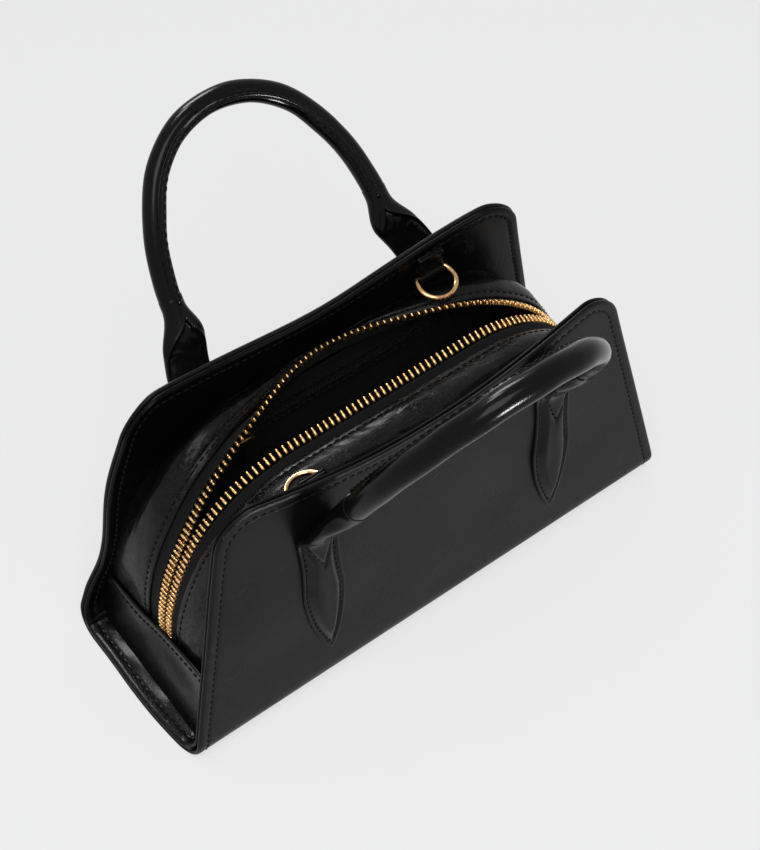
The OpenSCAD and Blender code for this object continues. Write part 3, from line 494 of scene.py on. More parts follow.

# %% [markdown]
# Cloth is woven: two crossing sets of threads, each a sine wave, and the steps over and under
# between them. A slant turns the weave into the herringbone ribs of a zip's tape. The group's Shade
# is painted shade, darker in the gaps between the threads.

# %% Weave
UNDER_THREAD = 0.6
weave_group, given, result = new_group(
    "cloth_weave", {"Place": (0, 0, 0), "Thread Size": 0.0005, "Slant": 1.0}, ("Height", "Shade"))
tree = weave_group
parts = add_node(tree, "SeparateXYZ")
tree.links.new(given["Place"], parts.inputs[0])
per_thread = math_node(tree, "DIVIDE", math.pi, given["Thread Size"])
first, second = (math_node(tree, "MULTIPLY", parts.outputs[i], per_thread) for i in (0, 1))
slanted = math_node(tree, "MULTIPLY_ADD", second, given["Slant"], first)
one, two = (math_node(tree, "ABSOLUTE", math_node(tree, "SINE", wave)) for wave in (slanted, second))
steps = math_node(tree, "MULTIPLY", one, two)
# Shade is painted shade: darker where one thread dips under another, between the threads
feed(tree, result, shade=band(tree, steps, 0.1, 0.7, 0.55, 1.0),
     height=math_node(tree, "MAXIMUM", steps, math_node(tree, "MULTIPLY", one, UNDER_THREAD)))
print("groups:", [g.name for g in bpy.data.node_groups])

# %% [markdown]
# Each finish is one Principled shader. A leather's patches and creases lift its colour and its
# roughness together, as wear does. A cloth has painted shade, darker between its threads. Plated
# metal has fine smears in tone and polish.

# %% Parts of a finish
COAT_ROUGHNESS, CLOTH_GLOSS, CLOTH_SHEEN = 0.14, 0.08, 0.02
PATCH_SHARE, METAL_NOISE, METAL_BUMP, METAL_BUMP_STRENGTH = 0.6, 900.0, 0.00001, 0.4


def surface(name, coordinates="Object", **settings):
    """A new material, its tree, a place socket and its Principled shader, linked to the output."""
    material = bpy.data.materials.new(name)
    tree, out = new_tree(material, "Material")
    shader = add_node(tree, "BsdfPrincipled", **settings)
    feed(tree, out, surface=shader.outputs[0])
    return material, tree, add_node(tree, "TexCoord").outputs[coordinates], shader


def use_group(tree, group, place, **values):
    """The outputs of a group node fed with a place, its own values set by name."""
    node = tree.nodes.new("ShaderNodeGroup")
    node.node_tree = group
    for key, value in values.items():
        node.inputs[socket_name(key)].default_value = value
    return feed(tree, node, place=place).outputs


def mix_colours(tree, factor, low, high):
    """Between two colours by a factor socket."""
    node = feed(tree, add_node(tree, "Mix", data_type="RGBA"), factor=factor)
    node.inputs[6].default_value, node.inputs[7].default_value = (*low, 1), (*high, 1)
    return node.outputs[2]


def bumped(tree, height, distance, strength=1.0):
    """A Bump node's normal from a height socket."""
    node = add_node(tree, "Bump", strength=strength, distance=distance)
    return feed(tree, node, height=height).outputs["Normal"]


print("a leather's coat has a roughness of", COAT_ROUGHNESS, "and a cloth's gloss is", CLOTH_GLOSS)

# %% [markdown]
# The three kinds of finish differ in what moves their colour and polish: wear on leather, painted
# shade in the gaps between threads on cloth, and smears on metal.

# %% Leather, cloth and metal
def leather_finish(name, dark, light, rough, gloss, crease_size, pebble, crease, coat=0.0, depth=0.00006):
    """Leather: patches lift its colour and roughness a little, creases lift them more, and the
    group's height feeds the bump."""
    material, tree, place, shader = surface(
        name, coat_weight=coat, specular_ior_level=gloss, coat_roughness=COAT_ROUGHNESS)
    skin = use_group(tree, grain_group, place, pebble_depth=pebble, crease_depth=crease,
                     crease_size=crease_size)
    patches = math_node(tree, "MULTIPLY", skin["Patches"], PATCH_SHARE)
    worn = math_node(tree, "MAXIMUM", patches, skin["Creases"])
    feed(tree, shader, base_color=mix_colours(tree, worn, dark, light),
         roughness=band(tree, worn, 0.0, 1.0, *rough), normal=bumped(tree, skin["Height"], depth))
    return material


def cloth_finish(name, dark, light, thread, slant, rough, depth=0.00008, coordinates="Object"):
    """Woven cloth: the weave's painted shade darkens the gaps between its threads."""
    material, tree, place, shader = surface(
        name, coordinates, roughness=rough, sheen_weight=CLOTH_SHEEN, specular_ior_level=CLOTH_GLOSS)
    weave = use_group(tree, weave_group, place, thread_size=thread, slant=slant)
    feed(tree, shader, base_color=mix_colours(tree, weave["Shade"], dark, light),
         normal=bumped(tree, weave["Height"], depth))
    return material


def metal_finish(name, dark, light, *rough):
    """Plated metal: fine noise varies its roughness and tone, as handling and polish do."""
    material, tree, place, shader = surface(name, metallic=1.0)
    smears = noise_node(tree, place, METAL_NOISE, 4.0, 0.6)
    polish = noise_node(tree, place, METAL_NOISE / 3, 3.0)
    feed(tree, shader, base_color=mix_colours(tree, band(tree, smears, 0.3, 0.7), dark, light),
         roughness=band(tree, polish, 0.3, 0.7, *rough),
         normal=bumped(tree, smears, METAL_BUMP, METAL_BUMP_STRENGTH))
    return material


print("kinds of finish:", [kind.__name__ for kind in (leather_finish, cloth_finish, metal_finish)])

# %% [markdown]
# Now the bag's own finishes. All its leathers are nearly black, and what tells them apart is their
# polish and grain: the walls are dull, the pouch is soft and shiny, and the handles are smooth.

# %% The bag's finishes
def black(level, blue=None):
    """A near black colour, a little bluer if a level for blue is given."""
    return level, level, level if blue is None else blue


panel_leather = leather_finish("panel_leather", black(0.0040, 0.0043), black(0.0070, 0.0075), (0.34, 0.46),
                               0.10, 0.011, pebble=0.25, crease=0.5, depth=0.0001)
soft_leather = leather_finish("soft_leather", black(0.0026, 0.0029), black(0.0060, 0.0066), (0.17, 0.30),
                              0.08, 0.0045, pebble=0.35, crease=1.2, coat=0.13, depth=0.0002)
gusset_leather = leather_finish("gusset_leather", black(0.0026, 0.0029), black(0.0056, 0.0061), (0.20, 0.30),
                                0.08, 0.011, pebble=0.35, crease=0.35, coat=0.12)
facing_leather = leather_finish("facing_leather", black(0.0018, 0.0020), black(0.0042, 0.0046), (0.28, 0.42),
                                0.06, 0.015, pebble=0.2, crease=0.6)
handle_leather = leather_finish("handle_leather", black(0.0022, 0.0024), black(0.0048, 0.0051), (0.18, 0.30),
                                0.06, 0.014, pebble=0.12, crease=0.4, coat=0.10)
thread_finish = cloth_finish("black_thread", black(0.0015), black(0.006), 0.0003, 1.0, 0.55, depth=0.00003)
lining_cloth = cloth_finish("lining_cloth", black(0.0012), (0.005, 0.0048, 0.0048), 0.0004, 0.0, 0.75)
tape_cloth = cloth_finish("tape_cloth", black(0.0010, 0.0011), black(0.011, 0.0115), 0.0012, 1.0, 0.85,
                          depth=0.00015, coordinates="UV")
board_fibre = cloth_finish("fibre_board", (0.20, 0.18, 0.15), (0.36, 0.33, 0.28), 0.0008, 1.0, 0.9)
coil_black = cloth_finish("nylon_coil", black(0.004), black(0.010), 0.0008, 0.3, 0.5)
# A darker copy of the zip's gold: painted shade for the pocket's slider and puller inside the bag
shade_darkened_gold = metal_finish("shade_darkened_gold", (0.10, 0.055, 0.02), (0.22, 0.13, 0.055), 0.3, 0.45)
ring_gold = metal_finish("pale_gold", (0.40, 0.22, 0.09), (0.66, 0.42, 0.22), 0.13, 0.24)
zip_gold = metal_finish("zip_gold", (0.56, 0.31, 0.11), (0.84, 0.55, 0.25), 0.22, 0.38)
print("finishes:", len(bpy.data.materials))

# %% [markdown]
# ## The leather shell
# The outside is one long piece of leather: down the front, under the base and up the back. Its
# edge is turned in all round and stitched to a facing, so the wall's edge shows two rolled edges
# with a crease between them. It could be a solidified plane, but the rolled edges, the stitch
# groove and the rounded corners need their own profile. So each leather is a grid inside, and
# rings that follow its outline outside, each ring at its own inset and depth.

# %% Outline of one leather
CORNER_SHARE = 1 - CORNER_RADIUS / half_at(PANEL_HEIGHT)
SLOPE_STEP, BEND_STEP, FLAT_STEPS, CORNER_STEPS = 2.4, 1.2, 96, 9
RIM = 8.0


def edge_height(across):
    """Height of a panel's top edge: its full height, less the dip, less the drop of the round corner."""
    a = np.abs(across)
    dip = TOP_DIP * np.maximum(0, 1 - (a / DIP_REACH) ** 2) ** DIP_POWER
    turn = np.arcsin(np.clip((a - CORNER_SHARE) / (1 - CORNER_SHARE), 0, 1))
    return PANEL_HEIGHT - dip - CORNER_RADIUS * (1 - np.cos(turn))


def edge_points(across):
    """Points (x, girth) of a panel's top edge, at shares of its half length."""
    rise = edge_height(across)
    return np.stack([across * half_at(rise), girth_of(rise)], -1)


def girth_steps(low, high):
    """Girths from low to high, closer together round the bends."""
    marks = [low, *(m for m in (-BEND_END, -FLAT_HALF, FLAT_HALF, BEND_END) if low < m < high), high]
    parts = []
    for a, b in zip(marks[:-1], marks[1:]):
        step = BEND_STEP if FLAT_HALF <= abs(a + b) / 2 <= BEND_END else SLOPE_STEP
        parts.append(np.linspace(a, b, max(2, math.ceil((b - a) / step)), endpoint=False))
    return np.concatenate(parts + [[high]])


def pattern_outline(low, high):
    """A leather's outline as a closed loop of (x, girth), and the numbers of its four corners. A girth of
    None means that end is a panel's top edge, with its dip and round corners."""
    turns = (np.linspace(math.pi / 4, 0, CORNER_STEPS, endpoint=False),
             np.linspace(math.pi / 2, math.pi / 4, CORNER_STEPS + 1)[1:])
    over, beside = (CORNER_SHARE + (1 - CORNER_SHARE) * np.sin(turn) for turn in turns)
    level = np.linspace(-CORNER_SHARE, CORNER_SHARE, FLAT_STEPS + 1)
    upper, corner = edge_points(np.concatenate([-over, level, over[::-1]])), edge_points(beside)
    top = girth_of(PANEL_HEIGHT - CORNER_RADIUS)
    girths = girth_steps(-top if low is None else low, top if high is None else high)
    side = np.stack([half_width(girths), girths], -1)
    straight = np.linspace(-1, 1, len(upper))[:, None]
    bottom = upper * [1, -1]
    if low is None:
        side = np.concatenate([corner[::-1] * [1, -1], side])
    else:
        bottom = straight * [[half_width(low), 0]] + [[0, low]]
    if high is None:
        side = np.concatenate([side, corner])
    else:
        upper = straight * [[half_width(high), 0]] + [[0, high]]
    loop = np.concatenate([bottom[:-1], side[:-1], upper[:0:-1], (side * [-1, 1])[:0:-1]])
    return loop, [0, *np.cumsum([len(bottom) - 1, len(side) - 1, len(upper) - 1])]


print("points round the shell:", len(pattern_outline(None, None)[0]))

# %% [markdown]
# Rings follow the outline at several insets. Each run between two corners is spread out again after
# it is moved in, so that no ring folds over at a corner. The grid inside the last ring is blended
# from its four edges, and bends with all of them.

# %% Rings and grid of one leather
def inset_loop(loop, inset):
    """A closed outline moved in by an inset along the mean of its neighbours' normals, mitred."""
    ahead = unit(np.roll(loop, -1, 0) - loop)
    one = np.stack([-ahead[:, 1], ahead[:, 0]], -1)
    two = np.roll(one, 1, 0)
    mitre = (one + two) / (1 + (one * two).sum(-1, keepdims=True))
    return loop + inset * mitre


def inset_runs(loop, corners, inset):
    """The same, with each of the four runs between its corners spread out again: the share of the
    way stays, and the place across is read off the moved run. So no sharp corner folds over."""
    moved = inset_loop(loop, inset)
    old, new = (np.concatenate([outline, outline[:1]]) for outline in (loop, moved))
    for number, (a, b) in enumerate(zip(corners, [*corners[1:], len(loop)])):
        axis = number % 2
        along, across = new[a : b + 1, axis], new[a : b + 1, 1 - axis]
        way = np.sign(old[b, axis] - old[a, axis])
        share = (old[a : b + 1, axis] - old[a, axis]) / (old[b, axis] - old[a, axis])
        spread = along[0] + share * (along[-1] - along[0])
        first = int(way * (along[1] - along[0]) <= 0)
        last = len(along) - int(way * (along[-1] - along[-2]) <= 0)
        read = np.interp(way * spread, way * along[first:last], across[first:last])
        moved[a + 1 : b, 1 - axis], moved[a + 1 : b, axis] = read[1:-1], spread[1:-1]
    return moved


def grid_between(bottom, right, top, left):
    """A grid between four edges: the two ruled surfaces added, less the one through the corners."""
    u = ((bottom[:, 0] - bottom[0, 0]) / (bottom[-1, 0] - bottom[0, 0]))[None, :, None]
    v = ((left[:, 1] - left[0, 1]) / (left[-1, 1] - left[0, 1]))[:, None, None]
    ruled = (1 - v) * bottom + v * top + (1 - u) * left[:, None] + u * right[:, None]
    low_corners = (1 - u) * (1 - v) * bottom[0] + u * (1 - v) * bottom[-1]
    return ruled - (low_corners + (1 - u) * v * top[0] + u * v * top[-1])


def wrap_leather(low, high, profile, place):
    """Points and faces of one leather. profile lists (inset, depth) from the face's grid over the
    edge to the back's grid, and place turns x, girth and depth into a point."""
    loop, corners = pattern_outline(low, high)
    ring = inset_runs(loop, corners, RIM)
    closed = np.concatenate([ring, ring[:1]])
    bottom, right, top, left = (closed[a : b + 1] for a, b in zip(corners, [*corners[1:], len(loop)]))
    inner = grid_between(bottom, right, top[::-1], left[::-1])
    face, back = (place(inner[..., 0], inner[..., 1], profile[end][1]) for end in (0, -1))
    rings = np.stack([place(*inset_runs(loop, corners, inset).T, depth) for inset, depth in profile])
    return joined([meshed(face), meshed(rings, round_columns=True, flip=True), meshed(back, flip=True)])


whole_outline = pattern_outline(None, None)[0]
print("the rim's last ring reaches", np.round(inset_loop(whole_outline, RIM).max(0), 1), "mm")

# %% [markdown]
# Leather is never flat. Two kinds of relief are enough for all of it: soft hills from a few sine
# waves, and sharp folds where a bent wave crosses zero. Both are made from a seed, so that each
# piece keeps its own folds in every render.

# %% Hills and folds
WAVE_COUNT, FOLD_COUNT, FOLD_BEND = 7, 5, 0.35


def waves(x, y, size, seed):
    """Soft hills: sine waves in turned directions, with lengths round a size, added and divided by the
    root of their number."""
    source = np.random.default_rng(seed)
    turns, lengths = source.uniform(0, math.pi, WAVE_COUNT), size * source.uniform(0.7, 1.5, WAVE_COUNT)
    total = 0.0
    for turn, length, phase in zip(turns, lengths, source.uniform(0, 2 * math.pi, WAVE_COUNT)):
        total = total + np.sin(2 * math.pi * (x * math.cos(turn) + y * math.sin(turn)) / length + phase)
    return total / math.sqrt(WAVE_COUNT)


def creases(x, y, size, seed):
    """Sharp folds: one less the size of a bent sine wave, cubed, which is a ridge at each of its zeros."""
    bent_x = x + FOLD_BEND * size * waves(x, y, 2.1 * size, seed + 50)
    bent_y = y + FOLD_BEND * size * waves(x, y, 1.7 * size, seed + 51)
    source = np.random.default_rng(seed)
    turns, phases = source.uniform(0, math.pi, FOLD_COUNT), source.uniform(0, 2 * math.pi, FOLD_COUNT)
    total = 0.0
    for turn, phase in zip(turns, phases):
        along = bent_x * math.cos(turn) + bent_y * math.sin(turn)
        total = total + (1 - np.abs(np.sin(math.pi * along / size + phase))) ** 3
    return total / FOLD_COUNT


print("hills stay within", round(np.abs(waves(np.arange(99.0), 0 * np.arange(99.0), 30, 1)).max(), 1))

# %% [markdown]
# The bag in the photo isn't quite true to its pattern: the rear wall's left edge waves, its lower
# corner is full, and the zip draws the middle of its top inwards.

# %% The outer leather's place and its rolled edge
HILL_RISE, HILL_SIZE, HILL_FADE = 0.22, 55, 30
WING_START, WING_END, WING_X, WING_Y = 70, 118, 1.6, 1.1
CORNER_FILL, TOP_PULL, PULL_PLACE, PULL_SPREAD = 3.0, 3.0, -4, 24


def outer_place(x, girth, depth):
    """The shell's point with gentle hills on its walls, the soft bow of the rear wall's left edge, a
    fuller left corner below it, and the wall's top drawn in where the zip pulls on it."""
    hills = HILL_RISE * waves(x, girth, HILL_SIZE, 3) * ease(np.abs(girth), BEND_END, BEND_END + HILL_FADE)
    spot = shell_point(x, girth, depth - hills)
    wing = ease(-x, WING_START, WING_END) * ease(girth, BEND_END, BEND_END + 12)
    height = np.clip(girth - BEND_END + BEND_REACH, 0, PANEL_HEIGHT)
    spot[..., 0] += wing * WING_X * np.sin(2 * math.pi * (height - 20) / 95) * ease(height, 20, 40)
    spot[..., 1] += wing * WING_Y * np.sin(2 * math.pi * (height + 10) / 80)
    spot[..., 0] -= ease(-x, 60, WING_END) * CORNER_FILL * bump(girth, BEND_END - 8, 13)
    pull = bump(x, PULL_PLACE, PULL_SPREAD) * ease(girth, girth_of(106), girth_of(126))
    spot[..., 1] -= TOP_PULL * pull
    return spot


FOLD_PROFILE = [
    (RIM, 0), (6.2, 0), (5.4, 0.02), (4.95, 0.13), (4.5, 0.24), (4.05, 0.13), (3.5, -0.02), (2.6, -0.1),
    (1.7, -0.1), (1.05, -0.01), (0.55, 0.2), (0.2, 0.55), (0.05, 0.95), (0.12, 1.35), (0.4, 1.72),
    (0.9, 1.95), (2.0, 2.02), (3.0, 1.98), (3.7, 1.7), (4.5, 1.42), (RIM, 1.4),
]
add_piece("outer_leather", *wrap_leather(None, None, FOLD_PROFILE, outer_place), panel_leather,
          stands_for=("front_panel", "base_panel", "rear_panel"), slot="black_leather")

# %% [markdown]
# ## The facing
# Inside the open ends the walls show a second leather, the facing, with its own turned edge a
# little behind the outer one. Each wall has one, and a third piece covers the base between them.
# Their lower edges overlap it in a small step near the corners, where the light catches it.

# %% Facing of both walls and the base
FACING_PROFILE = [
    (RIM, 4.0), (6.2, 4.0), (5.4, 3.98), (4.95, 3.87), (4.5, 3.76), (4.05, 3.87), (3.5, 4.02), (2.6, 4.08),
    (1.7, 4.06), (1.1, 3.93), (0.62, 3.66), (0.34, 3.25), (0.3, 2.85), (0.42, 2.5), (0.8, 2.22),
    (1.6, 2.12), (3.0, 2.14), (3.7, 2.4), (4.5, 2.76), (RIM, 2.8),
]
BOARD_PROFILE = [
    (RIM, 2.6), (5.6, 2.6), (5.2, 2.52), (5.0, 2.3), (5.0, 1.9), (5.2, 1.68), (5.6, 1.6), (RIM, 1.6),
]
LAP_GIRTH, LAP_STEP, BASE_LAP, BOARD_GAP = FLAT_HALF + 6, 1.3, 5, 3
FACE_DEPTHS = 3.2, 3.9


def loose(x, girth, depth, start, end):
    """How free a facing is: not at all on its back and at its sewn edge, and wholly further in."""
    return ease(half_width(girth) - np.abs(x), start, end) * ease(depth, *FACE_DEPTHS)


def facing_place(x, girth, depth):
    """A facing's point. Above the base's facing it stands 1.3 mm prouder, which fades up the wall, and
    it ripples a little away from its sewn edge."""
    lap = LAP_STEP * (1 - ease(np.abs(girth), LAP_GIRTH + 5, LAP_GIRTH + 18))
    ripple = 0.3 * creases(x, girth, 38, 21) * ease(np.abs(x), 85, 105) * loose(x, girth, depth, 6, 16)
    return outer_place(x, girth, depth + lap + ripple)


def base_place(x, girth, depth):
    """The base facing's point: it crumples towards its ends, where only its edge holds it down."""
    free = loose(x, girth, depth, 5, 10) * ease(np.abs(x), 84, 104)
    free = free * (1 - ease(np.abs(girth), LAP_GIRTH - 7, LAP_GIRTH - 2))
    ripple = 0.4 + 0.2 * waves(x, girth, 26, 8) + 0.5 * creases(x * 0.9, girth, 30, 9)
    return outer_place(x, girth, depth + free * ripple)


base_end = FLAT_HALF - BOARD_GAP
for name, low, high in (("rear", BEND_END, None), ("front", None, -BEND_END), ("base", -base_end, base_end)):
    add_piece(name + "_stiff_board", *wrap_leather(low, high, BOARD_PROFILE, outer_place), board_fibre,
              stands_for=(name + "_board",), slot="board")
for name, low, high, place, finish in (
    ("rear", LAP_GIRTH, None, facing_place, facing_leather),
    ("front", None, -LAP_GIRTH, facing_place, facing_leather),
    ("base", -LAP_GIRTH - BASE_LAP, LAP_GIRTH + BASE_LAP, base_place, soft_leather),
):
    add_piece(name + "_inner_leather", *wrap_leather(low, high, FACING_PROFILE, place), finish,
              stands_for=(name + "_facing",), slot="facing_leather")

# %% [markdown]
# ## Sheets with a thickness
# Lips, gussets, tapes and linings are thin sheets. A Solidify modifier gives square edges, but a
# turned leather edge is round. So one helper takes a grid of points, moves a copy in along the
# surface's own normals, and joins the two by a half round rim.

# %% Sheet helper
def grid_normals(grid):
    """Unit normals of a grid: across its rows' run and its columns' rise, pointing to its outer side."""
    run, rise = np.gradient(grid, axis=1), np.gradient(grid, axis=0)
    return unit(np.cross(run, rise))


def thick_sheet(grid, thickness, rim_steps=5):
    """A closed sheet: the grid, the grid moved in by its thickness, and a half circle of rings
    between them."""
    rows, columns = grid.shape[:2]
    out = grid_normals(grid)
    thickness = np.broadcast_to(np.asarray(thickness, float), (rows, columns))
    inner = grid - out * thickness[..., None]
    edge = rim_of(rows, columns)
    line, normal = grid.reshape(-1, 3)[edge], out.reshape(-1, 3)[edge]
    ahead = unit(np.roll(line, -1, 0) - np.roll(line, 1, 0))
    away = unit(np.cross(ahead, normal))
    half = thickness.reshape(-1)[edge][:, None] / 2
    turns = np.linspace(0, math.pi, rim_steps + 1)
    rings = np.stack([line + away * half * math.sin(t) - normal * half * (1 - math.cos(t)) for t in turns])
    return joined([meshed(grid), meshed(rings, round_columns=True, flip=True), meshed(inner, flip=True)])


# %% [markdown]
# ## The pouch and its arch
# The zip runs along an arch: up a long side curve, round a short shoulder, level across the top
# and down again. The leather on either side of it is a soft roof that rises from a crease on the
# facing and ends in a folded edge beside the zip's tape. The rear one sags back towards its wall,
# so the mouth reads as a soft S, as in the photo.

# %% Sizes and arch
TOOTH_LENGTH, TOOTH_PITCH, ROW_GAP = 4.3, 2.65, 1.0
TAPE_WIDTH, TAPE_THICKNESS, ROOF_THICKNESS, LIP_DEPTH = 5.6, 0.6, 1.2, 1.6
ARCH_HALF, ARCH_BASE, ARCH_RISE, ARCH_TUCK, ZIP_SHIFT, LIP_BOW = 103.0, 29.0, 79.5, 9.0, 2.0, 25.5
SIDE_RADIUS, SIDE_TURN = 101.0, math.radians(33)
BOW_SHIFT, BOW_LEFT, BOW_RIGHT, BOW_END = 0.055, 0.335, 0.42, 12
TAPE_FALL, BOW_FALL = 28, 47
FLIPS = [1, 1, 1], [1, -1, 1]
SOFT_GAP, ROW_REACH, ROOF_SEAM = 0.25, (TOOTH_LENGTH + ROW_GAP) / 2, 2.2
zip_arch = (ARCH_HALF, ARCH_BASE, ARCH_RISE, ARCH_TUCK)
crease_base = ARCH_BASE - ARCH_TUCK / 2
crease_rise = (ARCH_BASE + ARCH_RISE) * 0.945 - crease_base
crease_arch = (ARCH_HALF + LIP_DEPTH + SOFT_GAP, crease_base, crease_rise, ARCH_TUCK / 2)


def arch_sizes(arch):
    """Shoulder radius, level half length and whole half length of an arch."""
    half, _, rise, tuck = arch
    short = (rise - SIDE_RADIUS * math.sin(SIDE_TURN)) / (1 - math.sin(SIDE_TURN))
    level = half - SIDE_RADIUS * (1 - math.cos(SIDE_TURN)) - short * math.cos(SIDE_TURN)
    return short, level, level + short * (math.pi / 2 - SIDE_TURN) + SIDE_RADIUS * SIDE_TURN + tuck


def arch_at(arch, share):
    """x, z and climb along an arch, share -1 to 1. Climb is the angle to the upright: a quarter turn
    on the level, less round the shoulder, less again up the side curve, and none on the tuck."""
    half, base, rise, _ = arch
    short, level, whole = arch_sizes(arch)
    length = np.abs(share) * whole
    past = length - level
    past_side = past - short * (math.pi / 2 - SIDE_TURN)
    past_end = past_side - SIDE_RADIUS * SIDE_TURN
    climb = np.where(past < 0, math.pi / 2, np.where(past_side < 0, math.pi / 2 - past / short,
                     np.where(past_end < 0, SIDE_TURN - past_side / SIDE_RADIUS, 0)))
    c, s = np.cos(climb), np.sin(climb)
    x = np.where(past < 0, length, np.where(past_side < 0, level + short * c,
                 np.where(past_end < 0, half - SIDE_RADIUS * (1 - c), half)))
    z = np.where(past < 0, base + rise, np.where(past_side < 0, base + rise - short * (1 - s),
                 np.where(past_end < 0, base + SIDE_RADIUS * s, base - past_end)))
    side = np.where(share < 0, -1.0, 1.0)
    return side * x, z, climb


print("half length of the zip:", round(arch_sizes(zip_arch)[2], 1), "mm")

# %% [markdown]
# Every point of the zip and of the leather beside it is measured from a row of teeth, by the
# direction to the leather and the direction outwards there. Pushing the rear row out by a bell
# opens the mouth, and turns the tape with it.

# %% Frame of a row of teeth
def bow_at(x):
    """Share of the rear lip's bow: a bell, wider to the right, that fades out before the side curves."""
    off = x / ARCH_HALF + BOW_SHIFT
    reach = ARCH_HALF - SIDE_RADIUS * (1 - math.cos(SIDE_TURN))
    bell = np.exp(-((off / np.where(off < 0, BOW_LEFT, BOW_RIGHT)) ** 2) / 2)
    return bell * np.maximum(0, 1 - (np.abs(x) / reach) ** BOW_END)


def lip_frame(share, side):
    """Place, direction to the leather, outward normal, way up and bow of a row. Side 0 is the rear; 1 is
    the front, drawn at the rear and mirrored. The tape falls by up to 28 degrees on the level and by
    47 more with the bow."""
    share = np.asarray(share, float)
    x, z, climb = arch_at(zip_arch, share)
    bow = bow_at(x) * (side == 0)
    place = np.stack([x, ROW_REACH + (ZIP_SHIFT if side else -ZIP_SHIFT) + LIP_BOW * bow, z], -1)
    zero = np.zeros_like(x)
    away = np.stack([np.where(share < 0, -1, 1) * np.cos(climb), zero, np.sin(climb)], -1)
    level = np.maximum(0, (climb - SIDE_TURN) / (math.pi / 2 - SIDE_TURN))
    fall = np.radians(TAPE_FALL * level + BOW_FALL * bow)[..., None]
    back = np.array([0.0, 1.0, 0.0])
    way, out = back * np.cos(fall) - away * np.sin(fall), back * np.sin(fall) + away * np.cos(fall)
    return place, way, out, away, bow


most_bow = LIP_BOW * bow_at(np.linspace(-ARCH_HALF, ARCH_HALF, 200)).max()
print("the rear lip is pushed out by up to", round(most_bow, 1), "mm")

# %% [markdown]
# A roof is soft leather between a fixed crease and a folded edge. It rises in a crown between the
# two, sinks beside its seam, and folds gather in its middle, where nothing holds it down.

# %% Roofs
def tape_show(x, side):
    """Where a roof's folded edge lies from the row's middle: further out towards the ends."""
    if side:
        return TAPE_WIDTH + 1.3 * ease(np.abs(x), 50, 88)
    return TAPE_WIDTH + (2.4 * ease(-x, 15, 60) + 0.9 * ease(x, 70, 95))


ROOF_ROWS, ROOF_COLUMNS = 61, 261
CROWN, CREASE_VALLEY, CROWN_FADE = 5.0, 0.45, 0.8
PUSHED_RISE, PUSHED_PLACE, PUSHED_SPREAD = 3.2, -66, 17


def roof_grid(side):
    """The pouch leather: a ruled surface from its crease to its folded edge, crowned by a sine with
    a valley near the crease, pushed up at the rear's left, with folds that gather in its middle."""
    share = np.linspace(-1, 1, ROOF_COLUMNS)[None, :]
    x, z, _ = arch_at(crease_arch, share)
    place, way, out, away, bow = lip_frame(share, side)
    far = wall_point(x, z / math.cos(LEAN), SHELL_DEPTH + SOFT_GAP + ROOF_THICKNESS * bow)
    near = place + way * tape_show(x, side)[..., None] + out * LIP_DEPTH
    flat_rise = np.broadcast_to((np.linspace(0, 1, ROOF_ROWS) ** 1.1)[:, None], (ROOF_ROWS, ROOF_COLUMNS))
    rise = flat_rise[..., None]
    crown = CROWN * (np.sin(math.pi * rise) - CREASE_VALLEY * np.sin(math.pi * (1 - rise) ** 3))
    grid = far + (near - far) * rise + away * crown * away[..., 2:] * (1 - CROWN_FADE * bow[..., None])
    pushed = PUSHED_RISE * bump(place[..., :1], PUSHED_PLACE, PUSHED_SPREAD) * (side == 0)
    grid = grid + away * pushed * np.sin(math.pi * rise**0.75)
    length, across = share * arch_sizes(zip_arch)[2], flat_rise * 26
    free = np.sin(math.pi * np.clip(flat_rise, 0, 1)) ** 0.7
    folds = 0.55 * creases(length * 0.55, across, 17, 31 + side)
    folds = folds + 0.25 * waves(length, across * 2, 34, 5 + side)
    from_edge = np.linalg.norm(far - near, axis=-1) * (1 - flat_rise)
    groove = 0.3 * bump(from_edge, ROOF_SEAM, 0.45)
    return grid + grid_normals(grid) * (folds * free + groove)[..., None]


# Full by the fold beside the tape, where the leather is turned under, and thinner away from it
roof_thickness = (0.9 + 0.5 * ease(np.linspace(0, 1, ROOF_ROWS), 0.72, 0.8))[:, None]
roofs = [roof_grid(0), (roof_grid(1) * FLIPS[1])[:, ::-1]]
for name, grid in zip(("rear", "front"), roofs):
    add_piece(name + "_pouch_leather", *thick_sheet(grid[:, ::-1], roof_thickness), soft_leather,
              stands_for=(name + "_roof",), slot="black_leather")

# %% [markdown]
# ## Gussets
# A gusset closes each end of the pouch. It stands on the base facing, leans in a little and has a
# turned and stitched top edge that sags towards the rear corner.

# %% Gussets
GUSSET_LEAN, GUSSET_THICKNESS, GUSSET_LIFT, GUSSET_ROWS, GUSSET_COLUMNS = 5.9, 1.5, 8, 27, 45
GUSSET_HIGH = ARCH_HALF + LIP_DEPTH + 2 * SOFT_GAP + GUSSET_THICKNESS
GUSSET_PLACES, GUSSET_TOPS = [-1, -0.7, -0.35, 0, 0.3, 0.6, 1], [0.35, 0.34, 0.31, 0.27, 0.225, 0.205, 0.19]


def inner_depth(z):
    """Half the space between the walls at a height: on the bend's inner circle, then on the leaning wall."""
    radius = BEND_RADIUS - SHELL_DEPTH
    bend = FLAT_HALF + np.sqrt(np.maximum(0, radius**2 - (BEND_RADIUS - z) ** 2))
    wall = BASE_DEPTH / 2 - z * math.tan(LEAN) - SHELL_DEPTH / math.cos(LEAN)
    return np.where(z < BEND_RADIUS + radius * math.sin(LEAN), bend, wall)


